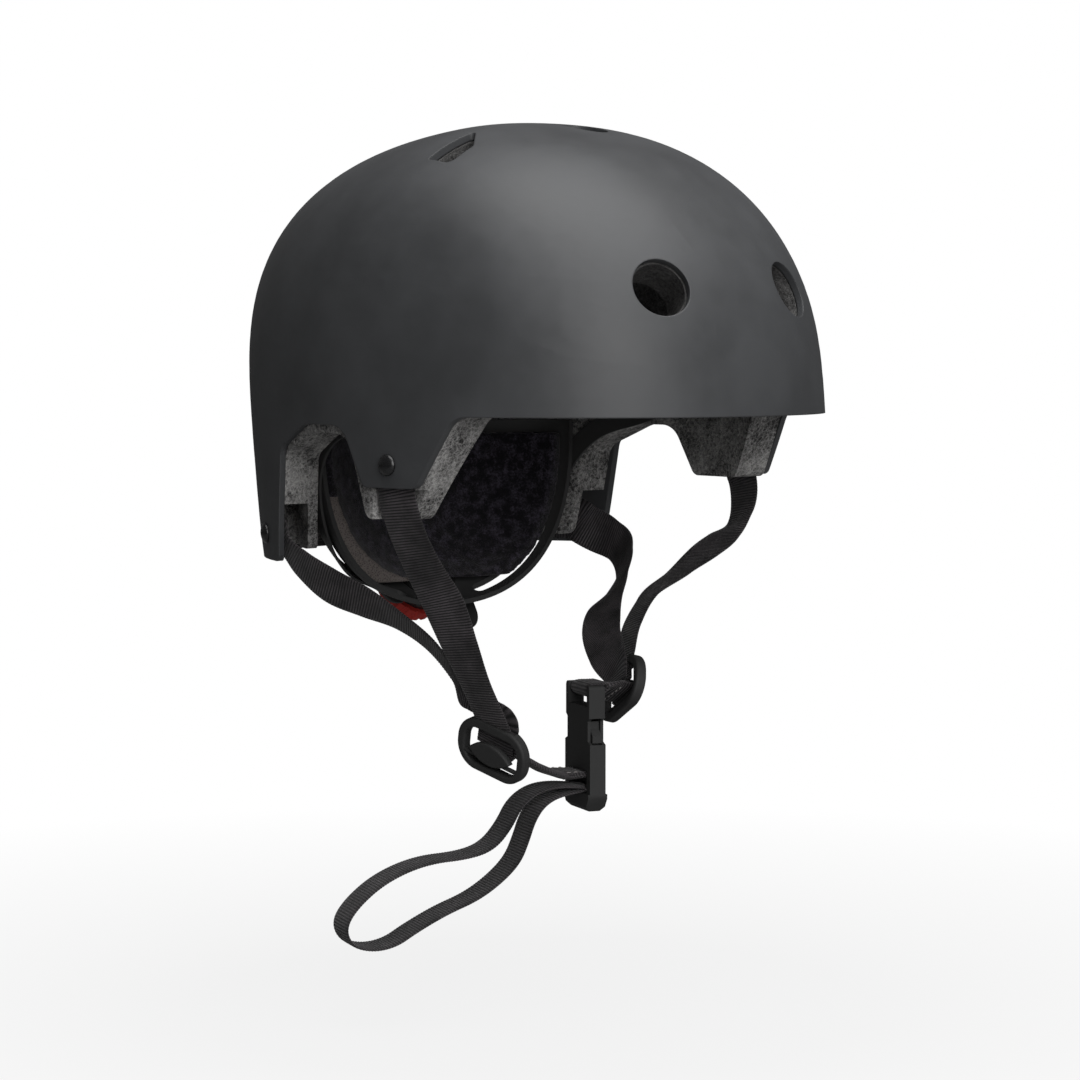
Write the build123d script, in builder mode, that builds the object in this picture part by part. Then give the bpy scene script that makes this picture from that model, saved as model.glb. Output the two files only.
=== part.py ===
"""Skateboard helmet with a foam liner, webbing harness, chin buckle and dial-fit cradle.

Millimetres. +Z is up, -Y is forward and +X is the wearer's left. The origin lies on the
middle plane of the head, level with the front edge of the shell.
"""

from build123d import *
from math import cos, pi, radians, sin, tan
import os

os.makedirs("parts", exist_ok=True)

# Shell and liner
shell_front = 132.0
shell_rear = 140.6
shell_side = 110.6
shell_height = 118.5
shell_wall = 3.0
liner_wall = 18.0
seat_gap = 0.3
dome_lift = 6.04
dome_tilt = 5.13
cut_reach = 260.0

# Lower outline of the shell, seen from the side: y grows to the rear, z is up
brim_front_z = 0.5
brim_side_z = -1.8
tab_root_y = -58.0
tab_front_y = -40.6
tab_back_y = -11.0
tab_low_z = -31.7
arch_front_y = 2.5
arch_back_y = 30.0
arch_z = -6.0
notch_top_y = 52.0
notch_top_z = -17.0
notch_low_y = 58.5
nape_z = -67.0
tab_root_round = 10.0
tab_round = 5.0
arch_front_round = 12.0
arch_back_round = 20.0
notch_round = 8.0
nape_round = 4.0

# The liner stands back from the shell's outline, and its right tab is the longer one
liner_brim_rise = 1.6
liner_arch_drop = 3.7
liner_notch_back = 2.2
liner_nape_rise = 4.5
liner_left_tab_drop = 0.9
liner_right_tab_drop = 13.4
liner_right_tab_front_y = -29.6
liner_right_tab_back_y = -10.0

# Vents
round_vent_diameter = 25.5
round_vent_x = 38.6
round_vent_z = 51.5
rear_vent_z = 58.0
side_vent_back_y = -13.0
side_vent_front_y = -27.0
side_vent_inner_x = 48.0
side_vent_mid_x = 62.0
side_vent_outer_x = 75.5
side_vent_round = 4.0
side_vent_back_round = 1.6
centre_vent_width = 18.0
centre_vent_front_y = -41.0
centre_vent_back_y = -17.0
rear_top_vent_y = 58.0
vent_lip = 0.8

# Webbing
webbing_width = 20.0
webbing_wall = 1.4
webbing_gap = 0.45
webbing_seat_gap = 1.2

# Rivets and washers
rivet_head_diameter = 8.5
rivet_head_height = 1.8
rivet_head_round = 1.2
rivet_head_gap = 0.1
rivet_shank_diameter = 4.0
rivet_hole_diameter = 4.3
rivet_tail_diameter = 6.0
rivet_tail_height = 0.8
washer_diameter = 11.0
washer_wall = 1.0
washer_gap = 0.9
front_rivet_y = -25.7
front_rivet_z = -22.0
rear_rivet_y = 75.0
rear_rivet_z = -55.4
pocket_width = 24.0
front_pocket_depth = 6.8
front_pocket_top_z = -8.0
rear_pocket_depth = 13.0
rear_pocket_front_y = 40.0
rear_pocket_back_y = 90.0
rear_pocket_top_z = -42.0

# Strap dividers and their levers
divider_length = 38.0
divider_height = 24.0
divider_thickness = 5.0
divider_window_length = 29.5
divider_window_height = 16.0
divider_round = 11.0
divider_window_round = 6.0
divider_rail_back = 0.6
lever_length = 23.5
lever_height = 10.0
lever_thickness = 2.8
lever_lift = 0.6
lever_drop = 2.0
lever_pin_drop = 5.0
lever_pin_diameter = 2.0
lever_pin_reach = 2.0
fit_gap = 0.06

# Buckle, measured up from the mouth of its upper half
buckle_width = 29.0
buckle_thickness = 7.4
mouth_height = 8.5
waist_width = 23.6
waist_height = 11.5
socket_length = 34.5
cheek_width = 27.0
cavity_width = 22.0
cavity_thickness = 4.6
cavity_depth = 23.0
buckle_bar_height = 32.0
buckle_bar_diameter = 3.4
strap_slot_width = 21.2
strap_slot_start = 25.0
plug_block_height = 3.2
plug_slot_height = 10.0
plug_end_height = 7.8
plug_bar_diameter = 3.0
plug_end_thickness = 9.0
guide_width = 6.4
arm_height = 18.5
arm_width = 2.4
arm_offset = 9.3
arm_thickness = 4.2
arm_knuckle = 1.15
arm_pivot_drop = 1.75
ear_reach = 3.1
ear_start = 9.3
ear_height = 6.0

# Cradle behind the head: a thin bowl
bowl_half_width = 77.0
bowl_depth = 40.0
bowl_drop = 77.0
bowl_y = 57.0
bowl_z = -15.0
bowl_top_z = -8.0
bowl_wall = 2.2
slot_front = 5.0
slot_width = 6.0
slot_inner_x = 21.0
slot_outer_x = 66.0
window_width = 24.0
window_height = 27.0
window_x = 33.0
window_z = -37.0
window_round = 7.0
cradle_pad_wall = 7.0
cradle_pad_back = 4.0
cradle_pad_top_z = -14.0
cradle_pad_low_z = -80.0

# Fit dial: heights run outward along its axis
dial_y = 72.0
dial_z = -75.0
dial_axis_lean = 29.4
housing_diameter = 32.0
housing_low = 2.5
housing_high = 12.2
tongue_x = 13.2
tongue_width = 19.6
tongue_reach = 30.5
tongue_thickness = 3.2
tongue_low = 4.6
tongue_round = 9.0
rack_low = 9.0
rack_wall = 1.3
rack_gap = 0.35
rack_reach = 14.0
rack_back = 5.0
tooth_module = 0.9
pinion_teeth = 10
rack_teeth_inside = 4
rack_teeth_outside = 6
knob_diameter = 36.0
knob_height = 8.8
knob_gap = 0.3
knob_round = 1.6
knob_grips = 20
knob_grip_diameter = 3.0
drive_diameter = 6.0
drive_flat = 4.6
screw_diameter = 2.4
screw_head_diameter = 5.2
screw_head_height = 1.6
belt_width = 9.0
belt_wall = 1.2
belt_stand_off = 0.95
cradle_clearance = 2.6
cradle_travel = 7.0

# Temple pins carry the belts
pin_y = -10.0
pin_z = 4.0
pin_diameter = 4.0
pin_head_diameter = 9.0
pin_head_height = 1.5
pin_head_gap = 0.25
pin_depth = 9.0
eyelet_diameter = 12.0

# Soft pads on the liner's inner wall
pad_height = 7.0
brow_pad_width = 40.0
brow_pad_height = 26.0
brow_pad_z = 24.0
brow_pad_x = 42.0
crown_pad_width = 74.0
crown_pad_length = 84.0
temple_pad_length = 46.0
temple_pad_height = 30.0
temple_pad_y = -48.0
temple_pad_z = 14.0

# Where the webbing leaves the shell, and how it runs on the wall before that
front_strap_rises = [9.0, 4.5, 0.0, -4.0, -8.0]
rear_strap_z = -55.6
left_rear_reaches = [9.0, 4.5, 0.0, -4.0]
right_rear_reaches = [9.0, 4.5, 0.0, -4.0, -7.0]
rear_strap_layer = 1.3
right_front_start = (-104.6, -26.5, -36.0)
left_front_start = (104.6, -26.5, -36.0)
right_rear_start = (-92.5, 64.0, -59.0)
left_rear_start = (91.3, 64.0, -58.5)
strap_entry_height = 14.5
strap_middle_height = 8.0
strap_end_height = 1.0
strap_join_length = 12.0
strap_join_inset = 2.2

# Dividers: places, the way that they face and how far their long way leans
right_divider_place = (-51.0, -27.0, -146.0)
right_divider_outward_shares = (-0.975, -0.09, -0.2)
right_divider_lean = -17.0
left_divider_place = (17.4, -36.6, -124.0)
left_divider_outward_shares = (0.9, -0.364, -0.25)
left_divider_lean = -30.0
divider_window_shift = -0.5
divider_rail_depth = 5.2
divider_edge_round = 1.2
lever_pin_height = 1.2
lever_edge_round = 1.0

# Buckle place, and small sizes of its halves
buckle_place = (0.0, -31.0, -155.0)
buckle_outward_shares = (-0.927, 0.372, 0.0)
waist_slope = 1.2
cheek_round = 2.0
plug_corner = 4.0
plug_end_flat = 2.0
guide_height = 18.0
arm_swing_gap = 0.5

# Double webbing at the buckle, and the loose tail, seen from the side
webbing_nap = 0.1
wrap_gap = 0.2
tail_arc_share = 0.45
chin_start_gap = 0.5
chin_drop = 1.8
chin_end_gap = 0.1
chin_lead = 8.0
chin_sag = 0.8
bar_loop_length = 6.0
tail_route = [
    (14.0, -9.4),
    (25.0, -11.0),
    (33.5, -17.0),
    (38.5, -26.5),
    (46.0, -35.0),
    (57.0, -38.5),
    (77.0, -39.5),
    (95.0, -46.0),
    (108.0, -56.0),
    (114.0, -65.0),
    (111.0, -73.0),
    (101.5, -76.0),
    (91.0, -74.5),
    (82.0, -69.0),
    (68.0, -62.0),
    (54.0, -57.0),
    (43.0, -50.0),
    (34.5, -42.0),
    (30.5, -33.0),
    (27.5, -24.0),
    (22.5, -17.0),
    (14.0, -13.2),
]

# Small places along the belts and in the dial
tongue_start = 13.0
drive_height = 4.0
belt_start = 15.0
belt_exit = 19.0
belt_wall_gap = 2.3
belt_wall_places = [(44.0, -11.5), (27.0, -6.5), (8.0, -0.5)]
eyelet_gap = 0.4
crown_pad_height = 12.0

# Each row of a route is how far along the span it lies, then how far beside the
# straight line in x, y and z; the turns are in degrees, about the span from its rear side
right_front_route_shares = [
    (0.0, 0.0, 0.0, 0.0),
    (0.12, -0.02, 0.0, -0.01),
    (0.31, -0.02, 0.0, -0.01),
    (0.46, -0.01, 0.0, 0.0),
    (0.64, 0.0, 0.0, 0.0),
    (0.82, -0.01, 0.0, 0.0),
]
right_front_turns = [169, 170, 165, 158, 164, 169]
right_rear_route_shares = [
    (0.0, 0.0, 0.0, 0.0),
    (0.08, 0.01, 0.0, 0.01),
    (0.2, 0.01, 0.0, 0.0),
    (0.34, 0.03, 0.0, 0.02),
    (0.48, 0.06, 0.0, 0.04),
    (0.61, 0.07, 0.0, 0.04),
    (0.73, 0.06, 0.0, 0.03),
]
right_rear_turns = [-2, -8, -20, -25, -10, 4, 14]
left_front_route_shares = [
    (0.0, 0.0, 0.0, 0.0),
    (0.13, 0.04, 0.0, -0.05),
    (0.27, 0.04, 0.0, -0.04),
    (0.43, 0.01, 0.0, -0.01),
    (0.56, -0.01, 0.0, 0.02),
    (0.72, -0.05, 0.0, 0.05),
    (0.86, -0.04, 0.0, 0.04),
]
left_front_turns = [16, 56, 65, 54, 40, 31, 27]
left_rear_route_shares = [
    (0.0, 0.0, 0.0, 0.0),
    (0.12, 0.1, -0.04, -0.02),
    (0.26, 0.08, -0.06, -0.02),
    (0.4, 0.06, -0.04, -0.02),
    (0.55, 0.01, 0.0, -0.01),
    (0.7, -0.02, 0.01, 0.0),
    (0.86, -0.03, 0.01, 0.0),
]
left_rear_turns = [10, 36, 52, 38, 16, 20, 28]

# Each belt's way over the bowl: degrees back from its front rim, and down from its side
left_belt_route = [(38, 66), (32, 52), (24, 36), (15, 20), (6, 7)]
right_belt_route = [(25, 68), (21, 53), (16, 37), (10, 20), (5, 7)]
bowl_power_share = 0.83
eyelet_lead_share = 0.7

# Teeth and pads, as shares of the tooth module and of the pad's sizes
tooth_tip_share = 0.8
tooth_root_share = 1.15
tooth_base_share = 1.05
tooth_top_share = 0.35
pad_round_share = 0.4
pad_turn_share = 0.1
pad_shape_shares = [(-0.9, 0.97), (0.0, 1.0), (0.45, 1.0), (0.8, 0.9), (1.0, 0.68)]

# The ring fullness is how far a curve's handle reaches, and the dome's rises and
# rounds are the powers of its profile
ring_fullness_share = 0.61
side_rise, side_round = 2.96, 2.48
front_rise, front_round = 1.876, 2.05
rear_rise, rear_round = 2.74, 2.37
nape_draw_share = 0.1
low_level_shares = (-0.8, -0.55, -0.3, 0.0)
level_angles = (12, 24, 36, 48, 60, 70, 78, 84, 88)
bowl_fullness_share = 0.65
bowl_angles = (0, 22, 42, 60, 76)

dome_plane = Plane(
    origin=(0, 0, dome_lift),
    x_dir=(1, 0, 0),
    z_dir=(0, sin(radians(dome_tilt)), cos(radians(dome_tilt))),
)


def oval(plane, right, left_end, front, back, fullness):
    """A closed outline of four curves with its own reach to each side."""
    with BuildSketch(plane) as outline:
        with BuildLine():
            Bezier((right, 0), (right, back * fullness), (right * fullness, back), (0, back))
            Bezier((0, back), (-left_end * fullness, back), (-left_end, back * fullness), (-left_end, 0))
            Bezier((-left_end, 0), (-left_end, -front * fullness), (-left_end * fullness, -front), (0, -front))
            Bezier((0, -front), (right * fullness, -front), (right, -front * fullness), (right, 0))
        make_face()
    return outline.sketch.face()


def dome_ring(level, inset):
    """One level of the dome, drawn in from the outer skin by the inset."""
    rise = max(level / (shell_height - inset), 0)
    drop = min(level / shell_height, 0)
    side = (shell_side - inset) * (1 - rise**side_rise) ** (1 / side_round)
    front = (shell_front - inset) * (1 - rise**front_rise) ** (1 / front_round)
    nape = (1 - rise**rear_rise) ** (1 / rear_round) - nape_draw_share * drop**2
    return oval(dome_plane.offset(level), side, side, front, (shell_rear - inset) * nape, ring_fullness_share)


def dome(inset):
    """The solid dome whose skin lies the inset inside the shell's outer face."""
    height = shell_height - inset
    rings = [dome_ring(share * shell_height, inset) for share in low_level_shares]
    rings += [dome_ring(height * sin(radians(angle)), inset) for angle in level_angles]
    crown = dome_plane.origin + dome_plane.z_dir * height
    with BuildPart() as solid:
        loft(rings + [Vertex(crown.X, crown.Y, crown.Z)])
    return solid.part


def below(outline, rounds, start, depth):
    """The space under a lower outline, from the start towards +X by the depth."""
    far = cut_reach
    corners = [(-far, outline[0][1])] + outline + [(far, outline[-1][1]), (far, -far), (-far, -far)]
    with BuildPart() as space:
        with BuildSketch(Plane.YZ.offset(start)) as side:
            with BuildLine():
                Polyline(*corners, close=True)
            make_face()
            for (y, z), size in zip(outline, rounds):
                corner = side.vertices().sort_by_distance((y, z))[0]
                fillet(corner, size)
        extrude(amount=depth)
    return space.part


def skin_seat(skin, start, direction):
    """Where a line from inside meets a skin: the point and the outward direction there."""
    ray = Axis(start, direction)
    hits = [hit for face in skin.faces() for hit in face.find_intersection_points(ray)]
    ahead = [hit for hit in hits if (hit[0] - ray.position).dot(ray.direction) > 0]
    point, normal = max(ahead, key=lambda hit: (hit[0] - ray.position).dot(ray.direction))
    if normal.dot(ray.direction) < 0:
        normal = normal * -1
    return point, normal


outer_dome = dome(0)
shell_core = dome(shell_wall)
liner_dome = dome(shell_wall + seat_gap)
liner_core = dome(shell_wall + seat_gap + liner_wall)

shell_outline = [
    (tab_root_y, brim_side_z),
    (tab_front_y, tab_low_z),
    (tab_back_y, tab_low_z),
    (arch_front_y, arch_z),
    (arch_back_y, arch_z),
    (notch_top_y, notch_top_z),
    (notch_low_y, nape_z),
]
shell_rounds = [
    tab_root_round,
    tab_round,
    tab_round,
    arch_front_round,
    arch_back_round,
    notch_round,
    nape_round,
]


def liner_outline(tab_front, tab_back, tab_drop):
    """The liner's lower outline for one side of the head."""
    return [
        (tab_root_y, brim_side_z + liner_brim_rise),
        (tab_front, tab_low_z - tab_drop),
        (tab_back, tab_low_z - tab_drop),
        (arch_front_y, arch_z - liner_arch_drop),
        (arch_back_y, arch_z - liner_arch_drop),
        (notch_top_y + liner_notch_back, notch_top_z - liner_arch_drop),
        (notch_low_y + liner_notch_back, nape_z + liner_nape_rise),
    ]


# The seats of the four rivets, as planes that look outward
rivet_places = [
    (side, y, z)
    for side in (1, -1)
    for y, z in ((front_rivet_y, front_rivet_z), (rear_rivet_y, rear_rivet_z))
]
rivet_seats = []
for side, y, z in rivet_places:
    seat, outward = skin_seat(outer_dome, (0, y, z), (side, 0, 0))
    rivet_seats.append(Plane(origin=seat, x_dir=(0, 0, 1), z_dir=outward))

pin_seats = []
for side in (1, -1):
    seat, outward = skin_seat(liner_core, (0, pin_y, pin_z), (side, 0, 0))
    pin_seats.append(Plane(origin=seat, x_dir=(0, 0, 1), z_dir=outward))

# The two front and two rear round vents look straight out of the shell
round_vent_seats = []
for side in (1, -1):
    for forward, height in ((-1, round_vent_z), (1, rear_vent_z)):
        seat, outward = skin_seat(outer_dome, (side * round_vent_x, 0, height), (0, forward, 0))
        round_vent_seats.append(Plane(origin=seat, z_dir=outward))


def vent_cutter(lip):
    """All the vents as one tool, drawn in all round by the lip."""
    side_points = [
        (side_vent_inner_x, side_vent_back_y),
        (side_vent_mid_x, side_vent_front_y),
        (side_vent_outer_x, side_vent_front_y),
        (side_vent_outer_x, side_vent_back_y),
    ]
    rounds = [side_vent_back_round, side_vent_round, side_vent_round, side_vent_back_round]
    centre_length = centre_vent_back_y - centre_vent_front_y
    centre_y = (centre_vent_back_y + centre_vent_front_y) / 2
    with BuildPart() as cutter:
        with BuildSketch(Plane.XY.offset(shell_height / 2)) as top:
            with BuildLine():
                Polyline(*side_points, close=True)
            make_face()
            for (x, y), size in zip(side_points, rounds):
                corner = top.vertices().sort_by_distance((x, y))[0]
                fillet(corner, size)
            if lip:
                offset(amount=-lip)
            mirror(about=Plane.YZ)
            with Locations((0, centre_y), (0, rear_top_vent_y)):
                SlotCenterToCenter(centre_length - centre_vent_width, centre_vent_width - 2 * lip, rotation=90)
        extrude(amount=shell_height)
        for seat in round_vent_seats:
            with BuildSketch(seat):
                Circle(round_vent_diameter / 2 - lip)
            extrude(amount=2 * liner_wall, both=True)
    return cutter.part


def bowl(inset):
    """The solid bowl of the cradle, drawn in by the inset."""
    rings = []
    for angle in bowl_angles:
        reach = cos(radians(angle))
        wide = (bowl_half_width - inset) * reach
        tall = (bowl_drop - inset) * reach
        back = Plane(
            origin=(0, bowl_y + (bowl_depth - inset) * sin(radians(angle)), bowl_z),
            x_dir=(1, 0, 0),
            z_dir=(0, 1, 0),
        )
        rings.append(oval(back, wide, wide, tall, tall, bowl_fullness_share))
    with BuildPart() as solid:
        loft(rings + [Vertex(0, bowl_y + bowl_depth - inset, bowl_z)])
    return solid.part


shell_vents = vent_cutter(0)
liner_vents = vent_cutter(vent_lip)
shell_cut = below(shell_outline, shell_rounds, -cut_reach, 2 * cut_reach)
liner_right_outline = liner_outline(liner_right_tab_front_y, liner_right_tab_back_y, liner_right_tab_drop)
liner_left_outline = liner_outline(tab_front_y, tab_back_y, liner_left_tab_drop)
liner_right_cut = below(liner_right_outline, shell_rounds, -cut_reach, cut_reach)
liner_left_cut = below(liner_left_outline, shell_rounds, 0, cut_reach)

with BuildPart() as outer_shell:
    add(outer_dome)
    add(shell_core, mode=Mode.SUBTRACT)
    add(shell_cut, mode=Mode.SUBTRACT)
    add(shell_vents, mode=Mode.SUBTRACT)
    for seat in rivet_seats:
        with BuildSketch(seat):
            Circle(rivet_hole_diameter / 2)
        extrude(amount=2 * shell_wall, both=True, mode=Mode.SUBTRACT)
outer_shell.part.label = "outer_shell"
export_step(outer_shell.part, "parts/outer_shell.step")

# Pockets in the liner's outer face leave room for webbing, washers and rivet ends
front_floor = dome(shell_wall + seat_gap + front_pocket_depth)
rear_floor = dome(shell_wall + seat_gap + rear_pocket_depth)


def pocket(floor, side, y_range, z_range):
    """The space outside a floor skin, within a band of y and z on one side."""
    with BuildPart() as space:
        with BuildSketch(Plane.YZ):
            with Locations((sum(y_range) / 2, sum(z_range) / 2)):
                Rectangle(y_range[1] - y_range[0], z_range[1] - z_range[0])
        extrude(amount=side * cut_reach / 2)
        add(floor, mode=Mode.SUBTRACT)
    return space.part


front_pocket_y = (front_rivet_y - pocket_width / 2, front_rivet_y + pocket_width / 2)
front_pocket_z = (-cut_reach / 2, front_pocket_top_z)
rear_pocket_y = (rear_pocket_front_y, rear_pocket_back_y)
rear_pocket_z = (-cut_reach / 2, rear_pocket_top_z)

# The cradle's room in the foam, from its rest to its highest tilt
cradle_room = bowl(-cradle_clearance)
pin_axis = Axis((0, pin_y, pin_z), (1, 0, 0))

with BuildPart() as foam_liner:
    add(liner_dome)
    add(liner_core, mode=Mode.SUBTRACT)
    for tilt in (0, cradle_travel / 2, cradle_travel):
        add(cradle_room.rotate(pin_axis, tilt), mode=Mode.SUBTRACT)
    add(liner_right_cut, mode=Mode.SUBTRACT)
    add(liner_left_cut, mode=Mode.SUBTRACT)
    add(liner_vents, mode=Mode.SUBTRACT)
    for side in (1, -1):
        add(pocket(front_floor, side, front_pocket_y, front_pocket_z), mode=Mode.SUBTRACT)
        add(pocket(rear_floor, side, rear_pocket_y, rear_pocket_z), mode=Mode.SUBTRACT)
    for seat in pin_seats:
        with BuildSketch(seat):
            Circle(pin_diameter / 2 + fit_gap)
        extrude(amount=pin_depth, both=True, mode=Mode.SUBTRACT)
foam_liner.part.label = "foam_liner"
export_step(foam_liner.part, "parts/foam_liner.step")

# How deep the webbing, washer and rivet end lie under the outer skin
webbing_depth = shell_wall + webbing_seat_gap + webbing_wall / 2
washer_top = webbing_depth + webbing_wall / 2 + washer_gap
tail_top = washer_top + washer_wall

with BuildPart() as shell_rivets:
    for seat in rivet_seats:
        with BuildSketch(seat.offset(rivet_head_gap)):
            Circle(rivet_head_diameter / 2)
        extrude(amount=rivet_head_height)
        fillet(faces(Select.LAST).sort_by(Axis(seat.origin, seat.z_dir))[-1].edges(), rivet_head_round)
        with BuildSketch(seat.offset(rivet_head_gap)):
            Circle(rivet_shank_diameter / 2)
        extrude(amount=-tail_top - rivet_head_gap)
        with BuildSketch(seat.offset(-tail_top)):
            Circle(rivet_tail_diameter / 2)
        extrude(amount=-rivet_tail_height)
shell_rivets.part.label = "shell_rivets"
export_step(shell_rivets.part, "parts/shell_rivets.step")

with BuildPart() as rivet_washers:
    for seat in rivet_seats:
        with BuildSketch(seat.offset(-washer_top)):
            Circle(washer_diameter / 2)
            Circle(rivet_hole_diameter / 2, mode=Mode.SUBTRACT)
        extrude(amount=-washer_wall)
rivet_washers.part.label = "rivet_washers"
export_step(rivet_washers.part, "parts/rivet_washers.step")


def hung(start, end, route_shares, turns):
    """Places along hanging webbing: each has its point and the direction of its width."""
    span = end - start
    along = span.normalized()
    rearward = (Vector(0, 1, 0) - along * along.Y).normalized()
    beside = along.cross(rearward)
    places = []
    for (share, x_share, y_share, z_share), turn in zip(route_shares, turns):
        point = start + span * share + Vector(x_share, y_share, z_share) * span.length
        across = rearward * cos(radians(turn)) + beside * sin(radians(turn))
        places.append((point, across))
    return places


def band(places, width, thickness):
    """Cross-sections of a flat band, square to its run at each place."""
    cuts = []
    for index, (point, across) in enumerate(places):
        before = places[max(index - 1, 0)][0]
        after = places[min(index + 1, len(places) - 1)][0]
        along = (after - before).normalized()
        level = (across - along * across.dot(along)).normalized()
        with BuildSketch(Plane(origin=point, x_dir=level, z_dir=along)) as cut:
            Rectangle(width, thickness)
        cuts.append(cut.sketch.face())
    return cuts


def divider_seat(centre, outward, lean):
    """The middle plane of a divider: it looks outward and its long way leans up by the angle."""
    outward = Vector(outward).normalized()
    level = Vector(0, 0, 1).cross(outward).normalized()
    rise = outward.cross(level)
    long_way = level * cos(radians(lean)) + rise * sin(radians(lean))
    return Plane(origin=centre, x_dir=long_way, z_dir=outward)


right_seat = divider_seat(right_divider_place, right_divider_outward_shares, right_divider_lean)
left_seat = divider_seat(left_divider_place, left_divider_outward_shares, left_divider_lean)
buckle_out = Vector(buckle_outward_shares).normalized()
buckle_across = Vector(0, 0, 1).cross(buckle_out)
buckle_seat = Plane(origin=buckle_place, x_dir=buckle_across, z_dir=buckle_out)
# The side view of the buckle: x runs towards the right ear, y runs up
side_view = Plane(origin=buckle_place, x_dir=buckle_out, z_dir=buckle_across * -1)


def in_window(seat, layer, height):
    """A point behind a divider's rail, at a height and a layer inward."""
    depth = divider_rail_back - webbing_gap - webbing_wall / 2 - layer * (webbing_wall + webbing_gap)
    return Vector(seat.from_local_coords((0, height, depth)))


def on_wall(side, wall_places, across):
    """Places where webbing lies against the shell's inner face."""
    found = []
    for y, z in wall_places:
        seat, outward = skin_seat(shell_core, (0, y, z), (side, 0, 0))
        level = Vector(across) - outward * outward.dot(Vector(across))
        found.append((seat - outward * (webbing_depth - shell_wall), level))
    return found


def strap(wall, start, route_shares, turns, seat, layer, across, lead):
    """Webbing that leaves the shell's inner face and ends behind a divider's rail."""
    entry = in_window(seat, layer, strap_entry_height)
    places = wall + hung(start, entry, route_shares, turns)
    if lead:
        for part in (1, 1 / 2):
            inward = seat.z_dir * -strap_join_inset * part
            places.append((entry + lead * strap_join_length * part + inward, across))
    places.append((entry, across))
    places.append((in_window(seat, layer, strap_middle_height), across))
    places.append((in_window(seat, layer, strap_end_height), across))
    return band(places, webbing_width, webbing_wall)


def pierced(bands, seat):
    """A strap with the rivet's hole through its upper end."""
    with BuildPart() as webbing:
        loft(bands)
        with BuildSketch(seat):
            Circle(rivet_hole_diameter / 2)
        extrude(amount=-2 * webbing_depth, mode=Mode.SUBTRACT)
    return webbing.part


left_front_rivet, left_rear_rivet, right_front_rivet, right_rear_rivet = rivet_seats
front_wall_places = [(front_rivet_y, front_rivet_z + rise) for rise in front_strap_rises]
left_rear_wall_places = [(rear_rivet_y + reach, rear_strap_z) for reach in left_rear_reaches]
right_rear_wall_places = [(rear_rivet_y + reach, rear_strap_z) for reach in right_rear_reaches]

right_lead = (Vector(right_front_start) - in_window(right_seat, 0, strap_entry_height)).normalized()

right_front_bands = strap(
    on_wall(-1, front_wall_places, (0, -1, 0)),
    Vector(right_front_start),
    right_front_route_shares,
    right_front_turns,
    right_seat,
    0,
    right_seat.x_dir,
    None,
)
right_rear_bands = strap(
    on_wall(-1, right_rear_wall_places, (0, 0, -1)),
    Vector(right_rear_start),
    right_rear_route_shares,
    right_rear_turns,
    right_seat,
    rear_strap_layer,
    right_seat.x_dir * -1,
    right_lead,
)
left_front_bands = strap(
    on_wall(1, front_wall_places, (0, 1, 0)),
    Vector(left_front_start),
    left_front_route_shares,
    left_front_turns,
    left_seat,
    0,
    left_seat.x_dir,
    None,
)
left_rear_bands = strap(
    on_wall(1, left_rear_wall_places, (0, 0, -1)),
    Vector(left_rear_start),
    left_rear_route_shares,
    left_rear_turns,
    left_seat,
    rear_strap_layer,
    left_seat.x_dir,
    None,
)

right_front_strap = pierced(right_front_bands, right_front_rivet)
right_front_strap.label = "right_front_strap"
export_step(right_front_strap, "parts/right_front_strap.step")

right_rear_strap = pierced(right_rear_bands, right_rear_rivet)
right_rear_strap.label = "right_rear_strap"
export_step(right_rear_strap, "parts/right_rear_strap.step")

left_front_strap = pierced(left_front_bands, left_front_rivet)
left_front_strap.label = "left_front_strap"
export_step(left_front_strap, "parts/left_front_strap.step")

left_rear_strap = pierced(left_rear_bands, left_rear_rivet)
left_rear_strap.label = "left_rear_strap"
export_step(left_rear_strap, "parts/left_rear_strap.step")


def lever_pin_plane(seat):
    """The plane square to a lever's pin, through the middle of the pin."""
    middle = seat.from_local_coords((0, -lever_pin_drop, lever_pin_height))
    return Plane(origin=middle, x_dir=seat.y_dir, z_dir=seat.x_dir)


def divider(seat):
    """An oval frame with a thin front rail, a window for the webbing and two pin holes."""
    pin_reach = divider_window_length / 2 + lever_pin_reach
    with BuildPart() as frame:
        with BuildSketch(seat):
            RectangleRounded(divider_length, divider_height, divider_round)
            with Locations((0, divider_window_shift)):
                RectangleRounded(
                    divider_window_length, divider_window_height, divider_window_round, mode=Mode.SUBTRACT
                )
        extrude(amount=divider_thickness / 2, both=True)
        rims = faces().filter_by(lambda f: abs(f.normal_at().dot(seat.z_dir)) > 0.99)
        fillet(rims.edges(), divider_edge_round)
        with BuildSketch(seat.offset(divider_rail_back)):
            with Locations((0, divider_height / 2)):
                Rectangle(strap_slot_width + 2 * webbing_gap, 2 * divider_rail_depth)
        extrude(amount=-divider_thickness, mode=Mode.SUBTRACT)
        with BuildSketch(lever_pin_plane(seat)):
            Circle(lever_pin_diameter / 2 + fit_gap)
        extrude(amount=pin_reach + fit_gap, both=True, mode=Mode.SUBTRACT)
    return frame.part


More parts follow.
